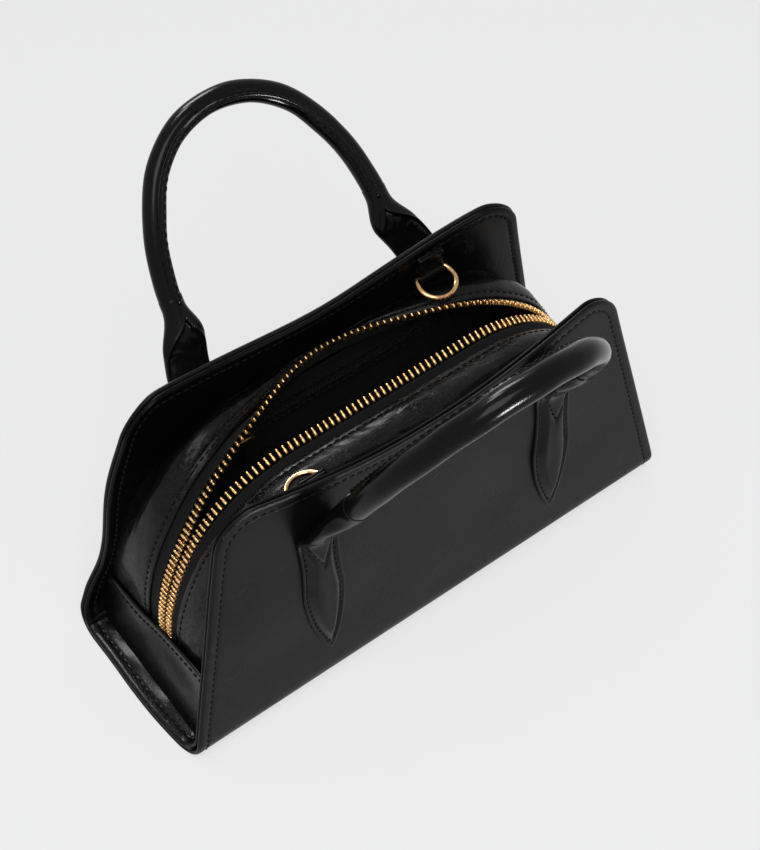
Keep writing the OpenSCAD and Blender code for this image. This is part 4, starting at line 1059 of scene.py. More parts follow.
def gusset_grid():
    """The left gusset: rows from the floor to the top edge, columns from the front wall to the rear."""
    across = np.linspace(-1, 1, GUSSET_COLUMNS)
    top = np.interp(across, GUSSET_PLACES, GUSSET_TOPS) * (ARCH_BASE + ARCH_RISE) + GUSSET_LIFT
    kernel = np.hanning(9) / np.hanning(9).sum()
    top = np.convolve(np.pad(top, 4, mode="edge"), kernel, "valid")
    rise = (np.linspace(0, 1, GUSSET_ROWS) ** 1.3)[:, None]
    floor = SHELL_DEPTH + 2 * SOFT_GAP + 0.9
    z = floor + (top - floor) * rise
    lean = GUSSET_LEAN * (1 - rise - 0.12 * np.sin(math.pi * rise))
    y = across * (inner_depth(z) - 0.5)
    free = np.sin(math.pi * rise)
    sag = 0.5 * waves(y, z * 1.3, 38, 12) * free + 0.25 * creases(y, z, 24, 17) * free
    return np.stack([np.broadcast_to(-(GUSSET_HIGH + lean) - sag * 0.5, z.shape), y, z], -1)


for name, grid in (("left", gusset_grid()[:, ::-1]), ("right", gusset_grid() * [-1, 1, 1])):
    add_piece(name + "_gusset_leather", *thick_sheet(grid, GUSSET_THICKNESS), gusset_leather,
              stands_for=(name + "_gusset",), slot="black_leather")

# %% [markdown]
# ## The zip
# The tapes are herringbone woven cloth, so their pattern follows a UV map that runs along each
# tape. The teeth are cast metal. A tooth is clamped on the tape by two legs and ends in a head of
# two lobes, so it is a small shape of eight stations, copied to each place on its row by one
# matrix product.

# %% Tapes
TAPE_COLUMNS, TAPE_ROWS, TAPE_LAP, CORD_RISE, CORD_SPREAD = 261, 9, 5.6, 0.35, 0.9


def tape_piece(name, side):
    """A tape between its cord beside the teeth and its lap under the leather."""
    share = np.linspace(-1, 1, TAPE_COLUMNS)[None, :] * (1 if side else -1)
    start = TOOTH_LENGTH / 2 + 2 * SOFT_GAP
    reach = np.linspace(TAPE_WIDTH + TAPE_LAP, start, TAPE_ROWS)[:, None, None]
    place, way, out, _, _ = lip_frame(share, side)
    cord = CORD_RISE * np.exp(-(((reach - start) / CORD_SPREAD) ** 2))
    grid = (place + way * reach + out * (TAPE_THICKNESS / 2 + cord)) * FLIPS[side]
    points, faces = thick_sheet(grid, TAPE_THICKNESS, rim_steps=3)
    along, across = np.broadcast_arrays(share * arch_sizes(zip_arch)[2] * MM, reach[..., 0] * MM)
    flat = np.stack([along, across], -1).reshape(-1, 2)
    uv = np.concatenate([flat, np.tile(flat[rim_of(TAPE_ROWS, TAPE_COLUMNS)], (4, 1)), flat])
    add_piece(name + "_cloth", points, faces, tape_cloth, stands_for=(name,), slot="zip_tape", uv=uv)


tape_piece("rear_zip_tape", 0)
tape_piece("front_zip_tape", 1)

# %% Teeth
TEETH = int((2 * arch_sizes(zip_arch)[2] - ARCH_TUCK) // TOOTH_PITCH)


def tooth_shape():
    """One tooth as stations from its head to its legs: (place, half width, half height). The two lobes
    are the wide stations on either side of the narrow waist."""
    half = TOOTH_LENGTH / 2
    stations = np.array([
        [-half, 0.2, 0.5], [-half + 0.25, 0.38, 0.88], [-half + 0.75, 0.48, 1.02], [-half + 1.15, 0.3, 0.82],
        [-half + 1.5, 0.42, 1.1], [-half + 2.0, 0.56, 1.2], [half - 0.8, 0.52, 1.16], [half - 0.3, 0.4, 0.86],
    ])
    turns = np.radians([25, 65, 115, 155, 205, 245, 295, 335])
    c, s = np.cos(turns), np.sin(turns)
    square = np.sign(c) * np.abs(c) ** 0.5, np.sign(s) * np.abs(s) ** 0.5
    place, wide, high = stations.T[..., None]
    points = np.stack(np.broadcast_arrays(wide * square[0], place, high * square[1]), -1)
    caps = [[7, 6, 5, 4], [7, 4, 3, 0], [3, 2, 1, 0]]
    ends = np.array(caps + [[56 + i for i in cap[::-1]] for cap in caps])
    return points.reshape(-1, 3), np.concatenate([grid_faces(8, 8, round_columns=True, flip=True), ends])


def tooth_row(side):
    """All teeth of a row. The two rows are half a pitch apart, so that each fits the other's gaps."""
    length = (np.arange(TEETH) - (TEETH - 1) / 2) * TOOTH_PITCH + side * TOOTH_PITCH / 2 - TOOTH_PITCH / 4
    place, way, out, _, _ = lip_frame(length / arch_sizes(zip_arch)[2], side)
    points, faces = repeated(*tooth_shape(), np.stack([np.cross(way, out), way, out], 1), place)
    return points * FLIPS[side], faces


for side, name in enumerate(("rear", "front")):
    add_piece(name + "_zip_row", *tooth_row(side), zip_gold, stands_for=(name + "_zip_teeth",),
              slot="zip_metal")
# %% [markdown]
# ## Handles, necks and tabs
# A handle is a rope covered in a strip of leather, with the strip's two edges stitched together in
# a raised seam. At each end the strip opens out, loses its rope, and lies flat on the wall as a
# leaf shaped tab, stitched round its edge and in a V where the padding begins. On the real bag that
# is one piece of leather, so here one loft runs from the tab's point to the tube. The photo's
# handles lie a little apart in shape, as soft handles do.

# %% Sizes and paths of the handles
TAB_WIDTH, TAB_LOW, TAB_EDGE, TAB_PAD, PIVOT_HEIGHT, PIVOT_PLACE = 19.0, 26.0, 1.2, 2.6, 106.0, 54.0
TUBE_RADIUS, NECK_LENGTH, LEG_LENGTH, POINT_WIDTH = 5.3, 20.0, 27.0, 0.8
COVER_RADIUS = {"rear": 4.6, "front": 5.1}
PIVOT_CLEAR = TUBE_RADIUS + 0.6
KNUCKLE = PIVOT_CLEAR - TAB_PAD - 0.3
PIVOT = wall_point(PIVOT_PLACE, PIVOT_HEIGHT, -PIVOT_CLEAR)
HANDLES = {"rear": 1, "front": -1}
ENDS = ((1, 1, "right"), (0, -1, "left"))
# Half width, height, crown radius, sideways shift, tilt outwards, and places of the left and right tab
LOOPS = {
    "rear": (47.4, 92.6, 39.8, -0.7, math.radians(39), (54.0, 54.0)),
    "front": (50.3, 97.0, 40.0, 1.8, math.radians(25.5), (53.0, 57.5)),
}


print("pivot at", np.round(PIVOT, 1), "mm")

# %% [markdown]
# A handle is drawn upright in its own plane, as a loop of a straight leg, a wide arc and a crown,
# and then tilted outwards about its pivot.

# %% The loop's path
def tilted(points, tilt):
    """Points drawn upright on the pivot, turned outwards about it and set in place at the rear."""
    x, y, z = np.moveaxis(np.asarray(points, float), -1, 0)
    c, s = math.cos(tilt), math.sin(tilt)
    return np.stack([x, PIVOT[1] + y * c + z * s, PIVOT[2] - y * s + z * c], -1)


def loop_at(name, length):
    """x, z and outward turn along a handle's loop, and its whole length. It climbs a straight leg, leans
    in along a wide arc, goes over the crown's circle and comes down the same way."""
    half, high, crown, shift = LOOPS[name][:4]
    climb = high - LEG_LENGTH - crown
    side = (half**2 + climb**2 - crown**2) / (2 * (half - crown))
    lean = math.atan2(climb, side - half)
    leg, crown_arc = LEG_LENGTH - NECK_LENGTH, crown * (math.pi - 2 * lean)
    whole = 2 * (leg + side * lean) + crown_arc
    l = np.clip(np.minimum(length, whole - length), -NECK_LENGTH, None)
    turn = np.clip((l - leg) / side, 0, lean)
    x = np.where(l < leg, -half, side - half - side * np.cos(turn))
    z = np.where(l < leg, NECK_LENGTH + l, LEG_LENGTH + side * np.sin(turn))
    over = np.maximum(0, l - leg - side * lean) / crown
    angle = math.pi - lean - over
    x = np.where(over > 0, crown * np.cos(angle), x)
    z = np.where(over > 0, high - crown + crown * np.sin(angle), z)
    out = np.where(over > 0, angle, math.pi - turn)
    flip = length > whole / 2
    return np.where(flip, -x, x) + shift, z, np.where(flip, math.pi - out, out), whole


for name in HANDLES:
    print(name, "loop:", round(float(loop_at(name, np.zeros(1))[3]), 1), "mm long")

# %% [markdown]
# The cover is a circle carried along that path. The seam is a ridge at a fixed angle round it, so
# more columns of the grid are spent there than on the plain part.

# %% Covers of the handles
SEAM_TURN, SEAM_RISE, SEAM_WIDTH, SEAM_GROOVE, TUBE_DRAW_IN = math.radians(108), 1.2, 1.7, 0.3, 0.08
SEAM_ENDS = {"rear": (10, 10), "front": (10, 27)}


def tube_points(name, length, angle, lift=0.0):
    """A point of a handle's cover: out from the rope's middle by the tube's radius, more by the seam's
    rise within its width, and by small hills, fine folds and a shallow step beside the seam."""
    x, z, turn, whole = loop_at(name, length)
    start, stop = SEAM_ENDS[name]
    window = ease(length, start, start + 2.5) * ease(whole - length, stop, stop + 1.5)
    radius = COVER_RADIUS[name]
    off = np.abs((angle - SEAM_TURN + math.pi) % (2 * math.pi) - math.pi) * radius
    seam = SEAM_RISE * (1 - ease(off, SEAM_WIDTH / 2 - 0.25, SEAM_WIDTH / 2 + 0.3))
    seam = seam - SEAM_GROOVE * bump(off, SEAM_WIDTH / 2 + 0.6, 0.35)
    folds = creases(length * 0.45, angle * radius * 0.9, 7, 43)
    soft = 0.1 * waves(length, angle * radius, 16, 41) + 0.07 * folds
    reach = radius - TUBE_DRAW_IN + window * seam + soft * (off > SEAM_WIDTH) + lift
    level = reach * np.cos(angle)
    return np.stack([x + level * np.cos(turn), -reach * np.sin(angle), z + level * np.sin(turn)], -1)


TUBE_START, TUBE_STEPS, ROUND_STEPS = 8.0, 210, 36
SEAM_MARKS = np.array([-1.9, -1.5, -1.2, -1.0, -0.75, -0.4, 0, 0.4, 0.75, 1.0, 1.2, 1.5, 1.9])
for name, side in HANDLES.items():
    whole = loop_at(name, np.zeros(1))[3]
    length = np.linspace(TUBE_START, whole - TUBE_START, TUBE_STEPS)[:, None]
    seam_marks = SEAM_TURN + SEAM_MARKS / COVER_RADIUS[name]
    round_marks = np.linspace(seam_marks[-1], seam_marks[0] + 2 * math.pi, ROUND_STEPS)[1:-1]
    tube = tube_points(name, length, np.concatenate([seam_marks, round_marks])[None, :])
    grid = tilted(capped(tube), LOOPS[name][4]) * [1, side, 1]
    add_piece(name + "_handle_leather", *meshed(grid, round_columns=True), handle_leather,
              body=name + "_handle", stands_for=(name + "_handle_cover", name + "_handle_rope"),
              slot="black_leather")

# %% [markdown]
# A tab's outline is a leaf: pointed below, widest in the middle and a little waisted above. Each
# cross section is a flattened round. Going up, the section leaves the wall, turns round the
# pivot and grows into the tube.

# %% Leaf and V of a tab
TAB_WAIST, LEAF_POWER, LEAF_LEAST = 0.12, 0.75, 0.3


def leaf_half(rise):
    """Half width of a tab: a sine to the power 0.75 up to its middle, then a slight waist above it."""
    waist = 1 - TAB_WAIST * np.sin(math.pi * np.maximum(0, rise - 0.5) / 0.5)
    leaf = np.sin(math.pi / 2 * np.minimum(1, rise / 0.5)) ** LEAF_POWER
    return POINT_WIDTH / 2 + (TAB_WIDTH / 2 - POINT_WIDTH / 2) * leaf * waist


def half_of_tab(height):
    """Half width of a tab at a height up the wall."""
    rise = np.clip((height - TAB_LOW) / (PIVOT_HEIGHT - POINT_WIDTH - TAB_LOW), 0, 1)
    return np.maximum(leaf_half(rise), LEAF_LEAST)


TAB_SEAM, V_LOW, V_OUTER, V_INNER = 2.1, 84.0, 99.0, 105.0
V_REACH = TAB_WIDTH / 2 * 0.94 - TAB_SEAM
NECK_OPEN, NECK_SHUT, NECK_HALF, THICK_START, BEND_OUT = 16.0, 31.0, TAB_WIDTH / 2 * 0.97, 4, 28
WALL_CLEAR, NECK_EXTRA = 0.12, 0.15


def v_fold(wide, height):
    """The V on a tab, as the distance outside it: negative between its two stitched arms."""
    drop = (height - V_LOW) * V_REACH
    outer = (wide * (V_OUTER - V_LOW) - drop) / math.hypot(V_OUTER - V_LOW, V_REACH)
    inner = (-wide * (V_INNER - V_LOW) - drop) / math.hypot(V_INNER - V_LOW, V_REACH)
    return np.maximum(outer, inner)


print("half of a tab at its middle:", round(float(half_of_tab((TAB_LOW + PIVOT_HEIGHT) / 2)), 1), "mm")

# %% [markdown]
# The strap's own surface goes from the wall to the tube. On the wall it is a relief over the
# leather. Above it, the section's half width and half thickness change along a sine, and its back
# stays open until the two edges meet.

# %% The strap from the wall to the tube
def swing_in(value, low, high):
    """From 0 to 1 as the square of a sine over a quarter turn."""
    return np.sin(math.pi / 2 * np.clip((value - low) / (high - low), 0, 1)) ** 2


def tab_relief(wide, height, border, half):
    """Heights of a tab's face: its padding and seams, and apart from them the sunken arms of the V."""
    pad = TAB_PAD + 0.5 - TAB_EDGE + 0.35 * bump(wide, 2.0, 2.2)
    dome = ease(border, TAB_SEAM - 0.3, TAB_SEAM + 3.4) * np.clip(half / 6, 0, 1)
    seat = -0.4 * bump(border, TAB_SEAM, 0.4) * ease(half, 1.5, 4) + 0.15 * bump(border, 0.9, 0.5)
    fold = v_fold(wide, height)
    crook = -0.6 * bump(fold, 0.35, 0.5) + 0.55 * (1 - ease(fold, -1.2, 0.4))
    crook = crook * ease(border, TAB_SEAM - 0.6, TAB_SEAM + 1.0)
    soft = 0.1 * waves(wide, height, 21, 61) + 0.05 * creases(wide * 1.5, height, 8, 67) * ease(border, 1, 4)
    return pad * dome + seat + crook + soft, crook


def neck_split(along, across, wide, height):
    """The inner side of a neck, where its two edges stand up and run together as it closes."""
    gap = 0.93 * (1 - ease(along, NECK_OPEN - 4, NECK_SHUT - 3))
    split = gap - np.abs(across + 0.3 * ease(along, NECK_OPEN, NECK_SHUT))
    crumple = 1.0 - 0.7 * creases(wide * 1.2, height, 7, 69)
    return ease(split, 0.02, 0.14) * crumple - 0.55 * bump(split, -0.03, 0.05)


def strap_point(name, end, along, across, out):
    """A point of the strap. Along is the distance up from the pivot, negative on the tab; across and out
    run from -1 to 1 round the section. Low down it lies on the wall, domed over its padding and with
    grooves along its seams. Above the wall it is still wide and flat, its two edges run together on the
    side that faces the bag, and it narrows into the tube."""
    shift, tilt, places = LOOPS[name][3:]
    place = places[end]
    along, across, out = np.broadcast_arrays(*(np.asarray(v, float) for v in (along, across, out)))
    height = PIVOT_HEIGHT + along
    half = half_of_tab(height)
    wide, border = across * half, (1 - np.abs(across)) * half
    upper = np.clip(out, 0, None)
    face = np.minimum(1, upper * 2.5)
    relief, crook = tab_relief(wide, height, border, half)
    rise = np.where(out > 0, TAB_EDGE * np.minimum(1, upper * 4) + relief * face, 0) + WALL_CLEAR
    wall = wall_point(place + wide, height, -rise)
    path_x, path_z, _, _ = loop_at(name, along - NECK_LENGTH)
    loop_x = shift - path_x + shift * (1 if end else -1)
    centre = place + (loop_x - place) * swing_in(along, 0, BEND_OUT)
    radius = COVER_RADIUS[name] + NECK_EXTRA
    half_wide = NECK_HALF + (radius - NECK_HALF) * swing_in(along, NECK_OPEN, NECK_SHUT)
    half_thick = KNUCKLE + (radius - KNUCKLE) * swing_in(along, THICK_START, NECK_SHUT)
    power = 0.8 + 0.2 * ease(along, 0, NECK_SHUT)
    x = centre + half_wide * np.sign(across) * np.abs(across) ** power
    y = half_thick * np.sign(out) * np.abs(out) ** power + crook * (out > 0) * (1 - ease(along, 4, 14)) * face
    open_part = ease(along, 2, 14) * (1 - ease(along, NECK_SHUT - 6, NECK_SHUT - 1))
    y = y + neck_split(along, across, wide, height) * np.clip(-out * 2.5, 0, 1) * open_part
    neck = tilted(np.stack([x, y, np.where(along < 0, along, path_z)], -1), tilt)
    turn = ease(along, -13, 7)[..., None]
    return wall * (1 - turn) + neck * turn


print("a strap's neck opens at", NECK_OPEN, "and is a tube from", NECK_SHUT, "mm above the pivot")

# %% [markdown]
# Four of these straps are made, mirrored for the left and right ends and for the front.

# %% The four straps
def blend_strap(piece):
    """Moves the transform of a piece on a strap into its points."""
    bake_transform(piece)


section = np.linspace(0, 2 * math.pi, 96, endpoint=False)[None, :]
tip = TAB_LOW - PIVOT_HEIGHT
along = np.concatenate([tip + np.array([0.0, 0.25, 0.7, 1.4, 2.4, 3.6]), np.linspace(tip + 5, -12, 84),
                        np.linspace(-11, NECK_SHUT + 3, 84)])[:, None]
for name, side in HANDLES.items():
    for end, mirror, word in ENDS:
        grid = capped(strap_point(name, end, along, np.cos(section), np.sin(section))) * [mirror, side, 1]
        strap = add_piece(f"{name}_{word}_strap", *meshed(grid, round_columns=True), handle_leather,
                          body=None, stands_for=(name + "_tabs", name + "_handle_necks", "tab_fillers"),
                          slot="black_leather")
        blend_strap(strap)
# %% [markdown]
# ## Strap rings and their loops
# Each ring is drawn brass wire bent to a D and plated in pale gold. It is a circle carried along a
# closed path: most of a larger circle, then a straight bar, with the two bends rounded. A folded
# strip of leather holds the bar against the facing.

# %% Sizes of the rings, and paths
RING_PLACE, RING_RADIUS, RING_WIRE, RING_HEIGHT, RING_SLOPE = 48.5, 7.9, 1.15, 112.5, math.radians(14)
LOOP_WIDTH, LOOP_LEATHER, BAR_GAP, TAIL_LENGTH = 12.0, 1.2, 0.08, 10.0
EYE_RADIUS = RING_WIRE + BAR_GAP + LOOP_LEATHER
ring_wall = wall_point(RING_PLACE + LOOP_WIDTH / 2, RING_HEIGHT / math.cos(LEAN), SHELL_DEPTH)
BAR = np.array([RING_PLACE, ring_wall[1] - EYE_RADIUS - SOFT_GAP, RING_HEIGHT])


def run_along(path):
    """The running length at each point of a path."""
    return np.concatenate([[0], np.cumsum(np.linalg.norm(np.diff(path, axis=0), axis=1))])


def resample(path, count, closed=False):
    """Evenly spaced points along a path, by its running length."""
    path = np.concatenate([path, path[:1]]) if closed else path
    run = run_along(path)
    spots = np.linspace(0, run[-1], count, endpoint=not closed)
    return np.stack([np.interp(spots, run, path[:, i]) for i in range(path.shape[1])], -1)


def smoothed(path, passes):
    """A closed path after some passes of a quarter, a half and a quarter of each point and its neighbours."""
    for _ in range(passes):
        path = 0.5 * path + 0.25 * (np.roll(path, 1, 0) + np.roll(path, -1, 0))
    return path


print("bar of the rear ring at", np.round(BAR, 1), "mm")

# %% [markdown]
# The wire's path is smoothed a few times, which rounds the two bends beside the bar as a bending
# tool would. The strip of leather is a path too, wrapped round the bar and up along the wall.

# %% Rings and their strips
RING_STEPS, RING_AROUND = 120, 20


def ring_grid():
    """The D: a circle about each point of its path, in the plane of the path's normal and Z."""
    turn = np.radians(np.linspace(150, 390, 80))
    arc = np.stack([-RING_RADIUS * np.cos(turn), RING_RADIUS * np.sin(turn) - RING_RADIUS * 0.5], -1)
    bar = np.stack([np.linspace(arc[-1, 0], arc[0, 0], 30)[1:-1], np.zeros(28)], -1)
    path = smoothed(resample(np.concatenate([arc, bar]), RING_STEPS, closed=True), 5)
    ahead = unit(np.roll(path, -1, 0) - np.roll(path, 1, 0))
    side = np.stack([ahead[:, 1], -ahead[:, 0]], -1)
    angle = np.linspace(0, 2 * math.pi, RING_AROUND, endpoint=False)[None, :, None]
    flat = path[:, None] + RING_WIRE * np.cos(angle) * side[:, None]
    high = np.broadcast_to(RING_WIRE * np.sin(angle), (RING_STEPS, RING_AROUND, 1))
    return np.concatenate([flat, high], -1)


def placed_ring(points):
    """Points of a ring tipped down by its slope about its bar, and put at the rear bar."""
    c, s = math.cos(RING_SLOPE), math.sin(RING_SLOPE)
    x, y, z = np.moveaxis(points, -1, 0)
    return np.stack([x, y * c - z * s, y * s + z * c], -1) + BAR


def strip_path():
    """The loop's strip in Y and Z: down one tail, round the bar, and up the other."""
    bend = EYE_RADIUS - LOOP_LEATHER / 2
    turn = np.radians(np.linspace(118, 360, 40))
    tail = np.array([[0.63, TAIL_LENGTH, TAIL_LENGTH], [0.63, 6, 6.0], [0.42, 4, 4.0], [-0.25, 3, 2.8]])
    around = np.stack([bend * np.cos(turn), bend * np.sin(turn)], -1)
    back = np.array([[bend, 5, 5.0], [bend, TAIL_LENGTH, TAIL_LENGTH]])
    ends = [np.stack([part[:, 0] - part[:, 1] * math.tan(LEAN), part[:, 2]], -1) for part in (tail, back)]
    return resample(np.concatenate([ends[0], around, ends[1]]), 70)


line = strip_path()
ahead = unit(np.gradient(line, axis=0))
outer = line + np.stack([-ahead[:, 1], ahead[:, 0]], -1) * -LOOP_LEATHER / 2
across = np.linspace(-1, 1, 17)[None, :] * (LOOP_WIDTH - LOOP_LEATHER) / 2
strip = np.stack(np.broadcast_arrays(across, outer[:, :1], outer[:, 1:]), -1) + BAR
for name, turn in HANDLES.items():
    ring = placed_ring(ring_grid()) * [turn, turn, 1]
    add_piece(name + "_strap_ring_wire", *meshed(ring, round_rows=True, round_columns=True), ring_gold,
              body=name + "_strap_ring", stands_for=(name + "_ring",), slot="ring_metal")
    add_piece(name + "_ring_strip", *thick_sheet((strip * [turn, turn, 1])[:, ::-1], LOOP_LEATHER * 0.98),
              handle_leather, stands_for=(name + "_ring_loop",), slot="black_leather")

# %% [markdown]
# ## Lining and inner pocket
# The lining is woven cloth. It hangs inside the walls and ripples a little, so each part is a thin
# sheet with soft waves. The rear one carries a zip pocket, with a frame sewn round a nylon coil,
# and a slip pocket below it. The coil is one filament wound in a long flat spiral.

# %% Linings
LINING_CLEAR, LINING_THICKNESS = 4.0, 0.5
LINING_HALF = ARCH_HALF - LINING_CLEAR
LINING_DEPTHS = {"front": SHELL_DEPTH + SOFT_GAP, "rear": SHELL_DEPTH + SOFT_GAP + 1.4}


def lining_top(x):
    """Height of the lining's top up the slope: it follows the arch's crease in one smooth curve."""
    fall = np.sqrt(1 - np.clip(np.abs(x) / crease_arch[0], 0, 1) ** 3.6)
    return crease_arch[1] + crease_arch[2] * fall - LINING_CLEAR - 5 * 0.45


def slope_sheet(x, height, depth):
    """Points of a sheet on the rear slope, flat or waved, at a depth below it."""
    x, height, depth = np.broadcast_arrays(x, height, depth)
    y = BASE_DEPTH / 2 - height * math.sin(LEAN) - depth * math.cos(LEAN)
    return np.stack([x, y, height * math.cos(LEAN) - depth * math.sin(LEAN)], -1)


def cross_lines(width, columns, low, high, rows):
    """A row of places across a width and a column of heights, the two ways of a grid."""
    return np.linspace(-width / 2, width / 2, columns)[None, :], np.linspace(low, high, rows)[:, None]


def cloth_piece(name, grid, node, thickness=LINING_THICKNESS):
    """A sheet of lining cloth with a thickness."""
    piece = add_piece(name, *thick_sheet(grid, thickness, rim_steps=3), lining_cloth, stands_for=(node,),
                      slot="lining_fabric")


def wall_lining(name, side):
    """A wall's lining: a grid from the bend to its curved top, with waves that stand into the bag."""
    x = np.linspace(-1, 1, 121)[None, :] * LINING_HALF
    rise = np.linspace(0, 1, 49)[:, None]
    height = BEND_REACH + (lining_top(x) - BEND_REACH) * rise
    ripple = 0.45 * (1 + waves(x, height * 0.5, 42, 71 + (side > 0))) * np.sin(math.pi * rise)
    ripple = ripple * ease(LINING_HALF - np.abs(x), 0, 15)
    grid = slope_sheet(x, height, LINING_DEPTHS[name] + np.clip(ripple, 0, 1.0)) * [1, side, 1]
    return grid if side > 0 else grid[:, ::-1]


for name, side in HANDLES.items():
    cloth_piece(name + "_lining_cloth", wall_lining(name, side), name + "_lining")
x, y = cross_lines(2 * LINING_HALF, 81, -FLAT_HALF, FLAT_HALF, 33)
lift = 0.35 * (1 + waves(x, y, 38, 77)) * ease(LINING_HALF - np.abs(x), 0, 12)
lift = np.clip(lift * ease(FLAT_HALF - np.abs(y), 0, 8), 0, 1)
grid = np.stack(np.broadcast_arrays(x, y, SHELL_DEPTH + 0.1 + LINING_THICKNESS + lift), -1)
cloth_piece("base_lining_cloth", grid, "base_lining")
print("the base lining lifts by up to", round(float(lift.max()), 2), "mm")

# %% [markdown]
# The ends of the lining close it between the two walls, below the gussets' tops.

# %% Ends of the lining
def side_lining_grid(mirror):
    """An end of the lining: between the walls' linings, from above the bend to a low top edge."""
    top = ARCH_BASE + ARCH_RISE * 0.12
    z = np.linspace(BEND_RADIUS, top, 21)[:, None]
    share = np.linspace(-1, 1, 41)[None, :]
    rear, front = (BASE_DEPTH / 2 - z * math.tan(LEAN)
                   - (LINING_DEPTHS[name] + LINING_THICKNESS + SOFT_GAP) / math.cos(LEAN)
                   for name in ("rear", "front"))
    y = share * np.where(share > 0, rear, front)
    sag = np.sin(math.pi * (z - BEND_RADIUS) / (top - BEND_RADIUS)) * np.cos(math.pi / 2 * share)
    x = ARCH_HALF - ROOF_THICKNESS - LINING_CLEAR - 0.3 * (1 + waves(y, z, 30, 79)) * sag
    return np.stack(np.broadcast_arrays(x * mirror, y, z), -1)


for name, mirror in (("right", 1), ("left", -1)):
    grid = side_lining_grid(mirror)
    points, faces = thick_sheet(grid[:, ::mirror], LINING_THICKNESS, rim_steps=3)
    piece = add_piece(name + "_end_lining_cloth", points, faces, lining_cloth, stands_for=("side_linings",),
                      slot="lining_fabric")
    width, height = 2 * grid[..., 1].max() * MM, np.ptp(grid[:, 0, 2]) * MM

# %% [markdown]
# The zip pocket's frame is cloth turned in round a slot: a ring of rounded rectangles, from the
# slot to the outer edge over the face, and back behind it.

# %% Sizes of the pockets, and the frame
POCKET_LENGTH, POCKET_HEIGHT, POCKET_SLOT, WELT_WIDTH, WELT_THICKNESS = 110.0, 84.0, 6.0, 13.0, 0.5
POCKET_FACE = LINING_DEPTHS["rear"] + LINING_THICKNESS + 0.1
POCKET_TAPE, TAPE_REACH, POCKET_TAPE_THICKNESS = 0.4, 3.2, 0.35
WELT_FACE = POCKET_FACE + POCKET_TAPE + 0.1
COIL_TURNS, COIL_STEPS, COIL_RADIUS, COIL_WIRE, COIL_END = 92, 10, 0.72, 0.27, 0.5
SLIP_HALF, SLIP_LOW, SLIP_HIGH = 34, 22, 62
BAG_WIDTH, BAG_BELOW, BAG_ABOVE, BAG_THICKNESS = 122, 50, 6, 0.9


def frame_loop(half_length, half_height, corner):
    """A round cornered rectangle as a closed loop of (x, height)."""
    turn = np.linspace(0, math.pi / 2, 8)
    quarter = np.stack([half_length - corner + corner * np.cos(turn),
                        half_height - corner + corner * np.sin(turn)], -1)
    halves = np.concatenate([quarter, (quarter * [-1, 1])[::-1]])
    return resample(np.concatenate([halves, -halves]), 240, closed=True)


inner = frame_loop(POCKET_LENGTH / 2, POCKET_SLOT / 2, 0.8)
outer = frame_loop((POCKET_LENGTH + WELT_WIDTH) / 2, WELT_WIDTH / 2, 2.5)
# Shares of the way from the slot to the outer edge, with the lift there, and then the two back edges
shares = np.array([0, 0.02, 0.08, 0.2, 0.3, 0.5, 0.75, 0.92, 0.98, 1.0, 1.0, 0])[:, None, None]
lifts = WELT_THICKNESS + np.array([-0.45, -0.1, 0.1, 0.12, 0.0, 0.05, 0.06, 0.04, -0.08, -0.4, 0, 0])[:, None]
lifts[-2:] = 0
rings = inner + (outer - inner) * shares
tube = slope_sheet(rings[..., 0], rings[..., 1] + POCKET_HEIGHT, WELT_FACE + lifts)
add_piece("pocket_frame", *meshed(tube, round_rows=True, round_columns=True), lining_cloth,
          stands_for=("pocket_welt",), slot="lining_fabric")
print("the frame is", POCKET_LENGTH + WELT_WIDTH, "x", WELT_WIDTH, "mm")

# %% [markdown]
# The coil is one nylon filament: a small circle carried along a flat spiral, ten steps to a turn,
# with its two ends closed to a point.

# %% Coil of the inner pocket
turn = np.linspace(0, 2 * math.pi * COIL_TURNS, COIL_TURNS * COIL_STEPS)
along = np.linspace(COIL_END - POCKET_LENGTH / 2, POCKET_LENGTH / 2 - COIL_END, len(turn))
middle = np.stack([along, COIL_RADIUS * np.cos(turn), COIL_RADIUS * np.sin(turn)], -1)
ahead = unit(np.gradient(middle, axis=0))
out = unit(np.cross(ahead, np.cross(middle * [0, 1, 1], ahead)))
over = np.cross(ahead, out)
wire = np.linspace(0, 2 * math.pi, 5, endpoint=False)[None, :, None]
size = np.where((turn > 0) & (turn < turn[-1]), COIL_WIRE, 0)[:, None, None]
coil = middle[:, None] + size * (np.cos(wire) * out[:, None] + np.sin(wire) * over[:, None])
coil = slope_sheet(coil[..., 0], coil[..., 2] + POCKET_HEIGHT, WELT_FACE + 1.0 + coil[..., 1])
add_piece("pocket_coil_spiral", *meshed(coil, round_columns=True), coil_black, stands_for=("pocket_coil",),
          slot="nylon_coil")
print("length of the coil's wire:", round(float(run_along(middle)[-1])), "mm")

# %% [markdown]
# The tape behind the coil, the slip pocket and the hidden bag of the zip pocket are plain sheets
# on the rear slope. Only the slip pocket puffs out a little.

# %% Pocket tape, slip pocket and pocket bag
x, height = cross_lines(POCKET_LENGTH + 2 * TAPE_REACH, 90, -POCKET_SLOT, POCKET_SLOT, 7)
grid = slope_sheet(x, POCKET_HEIGHT + height, POCKET_FACE + POCKET_TAPE)
points, faces = thick_sheet(grid[:, ::-1], POCKET_TAPE_THICKNESS, rim_steps=2)
add_piece("pocket_zip_cloth", points, faces, coil_black, stands_for=("pocket_tape",), slot="zip_tape")

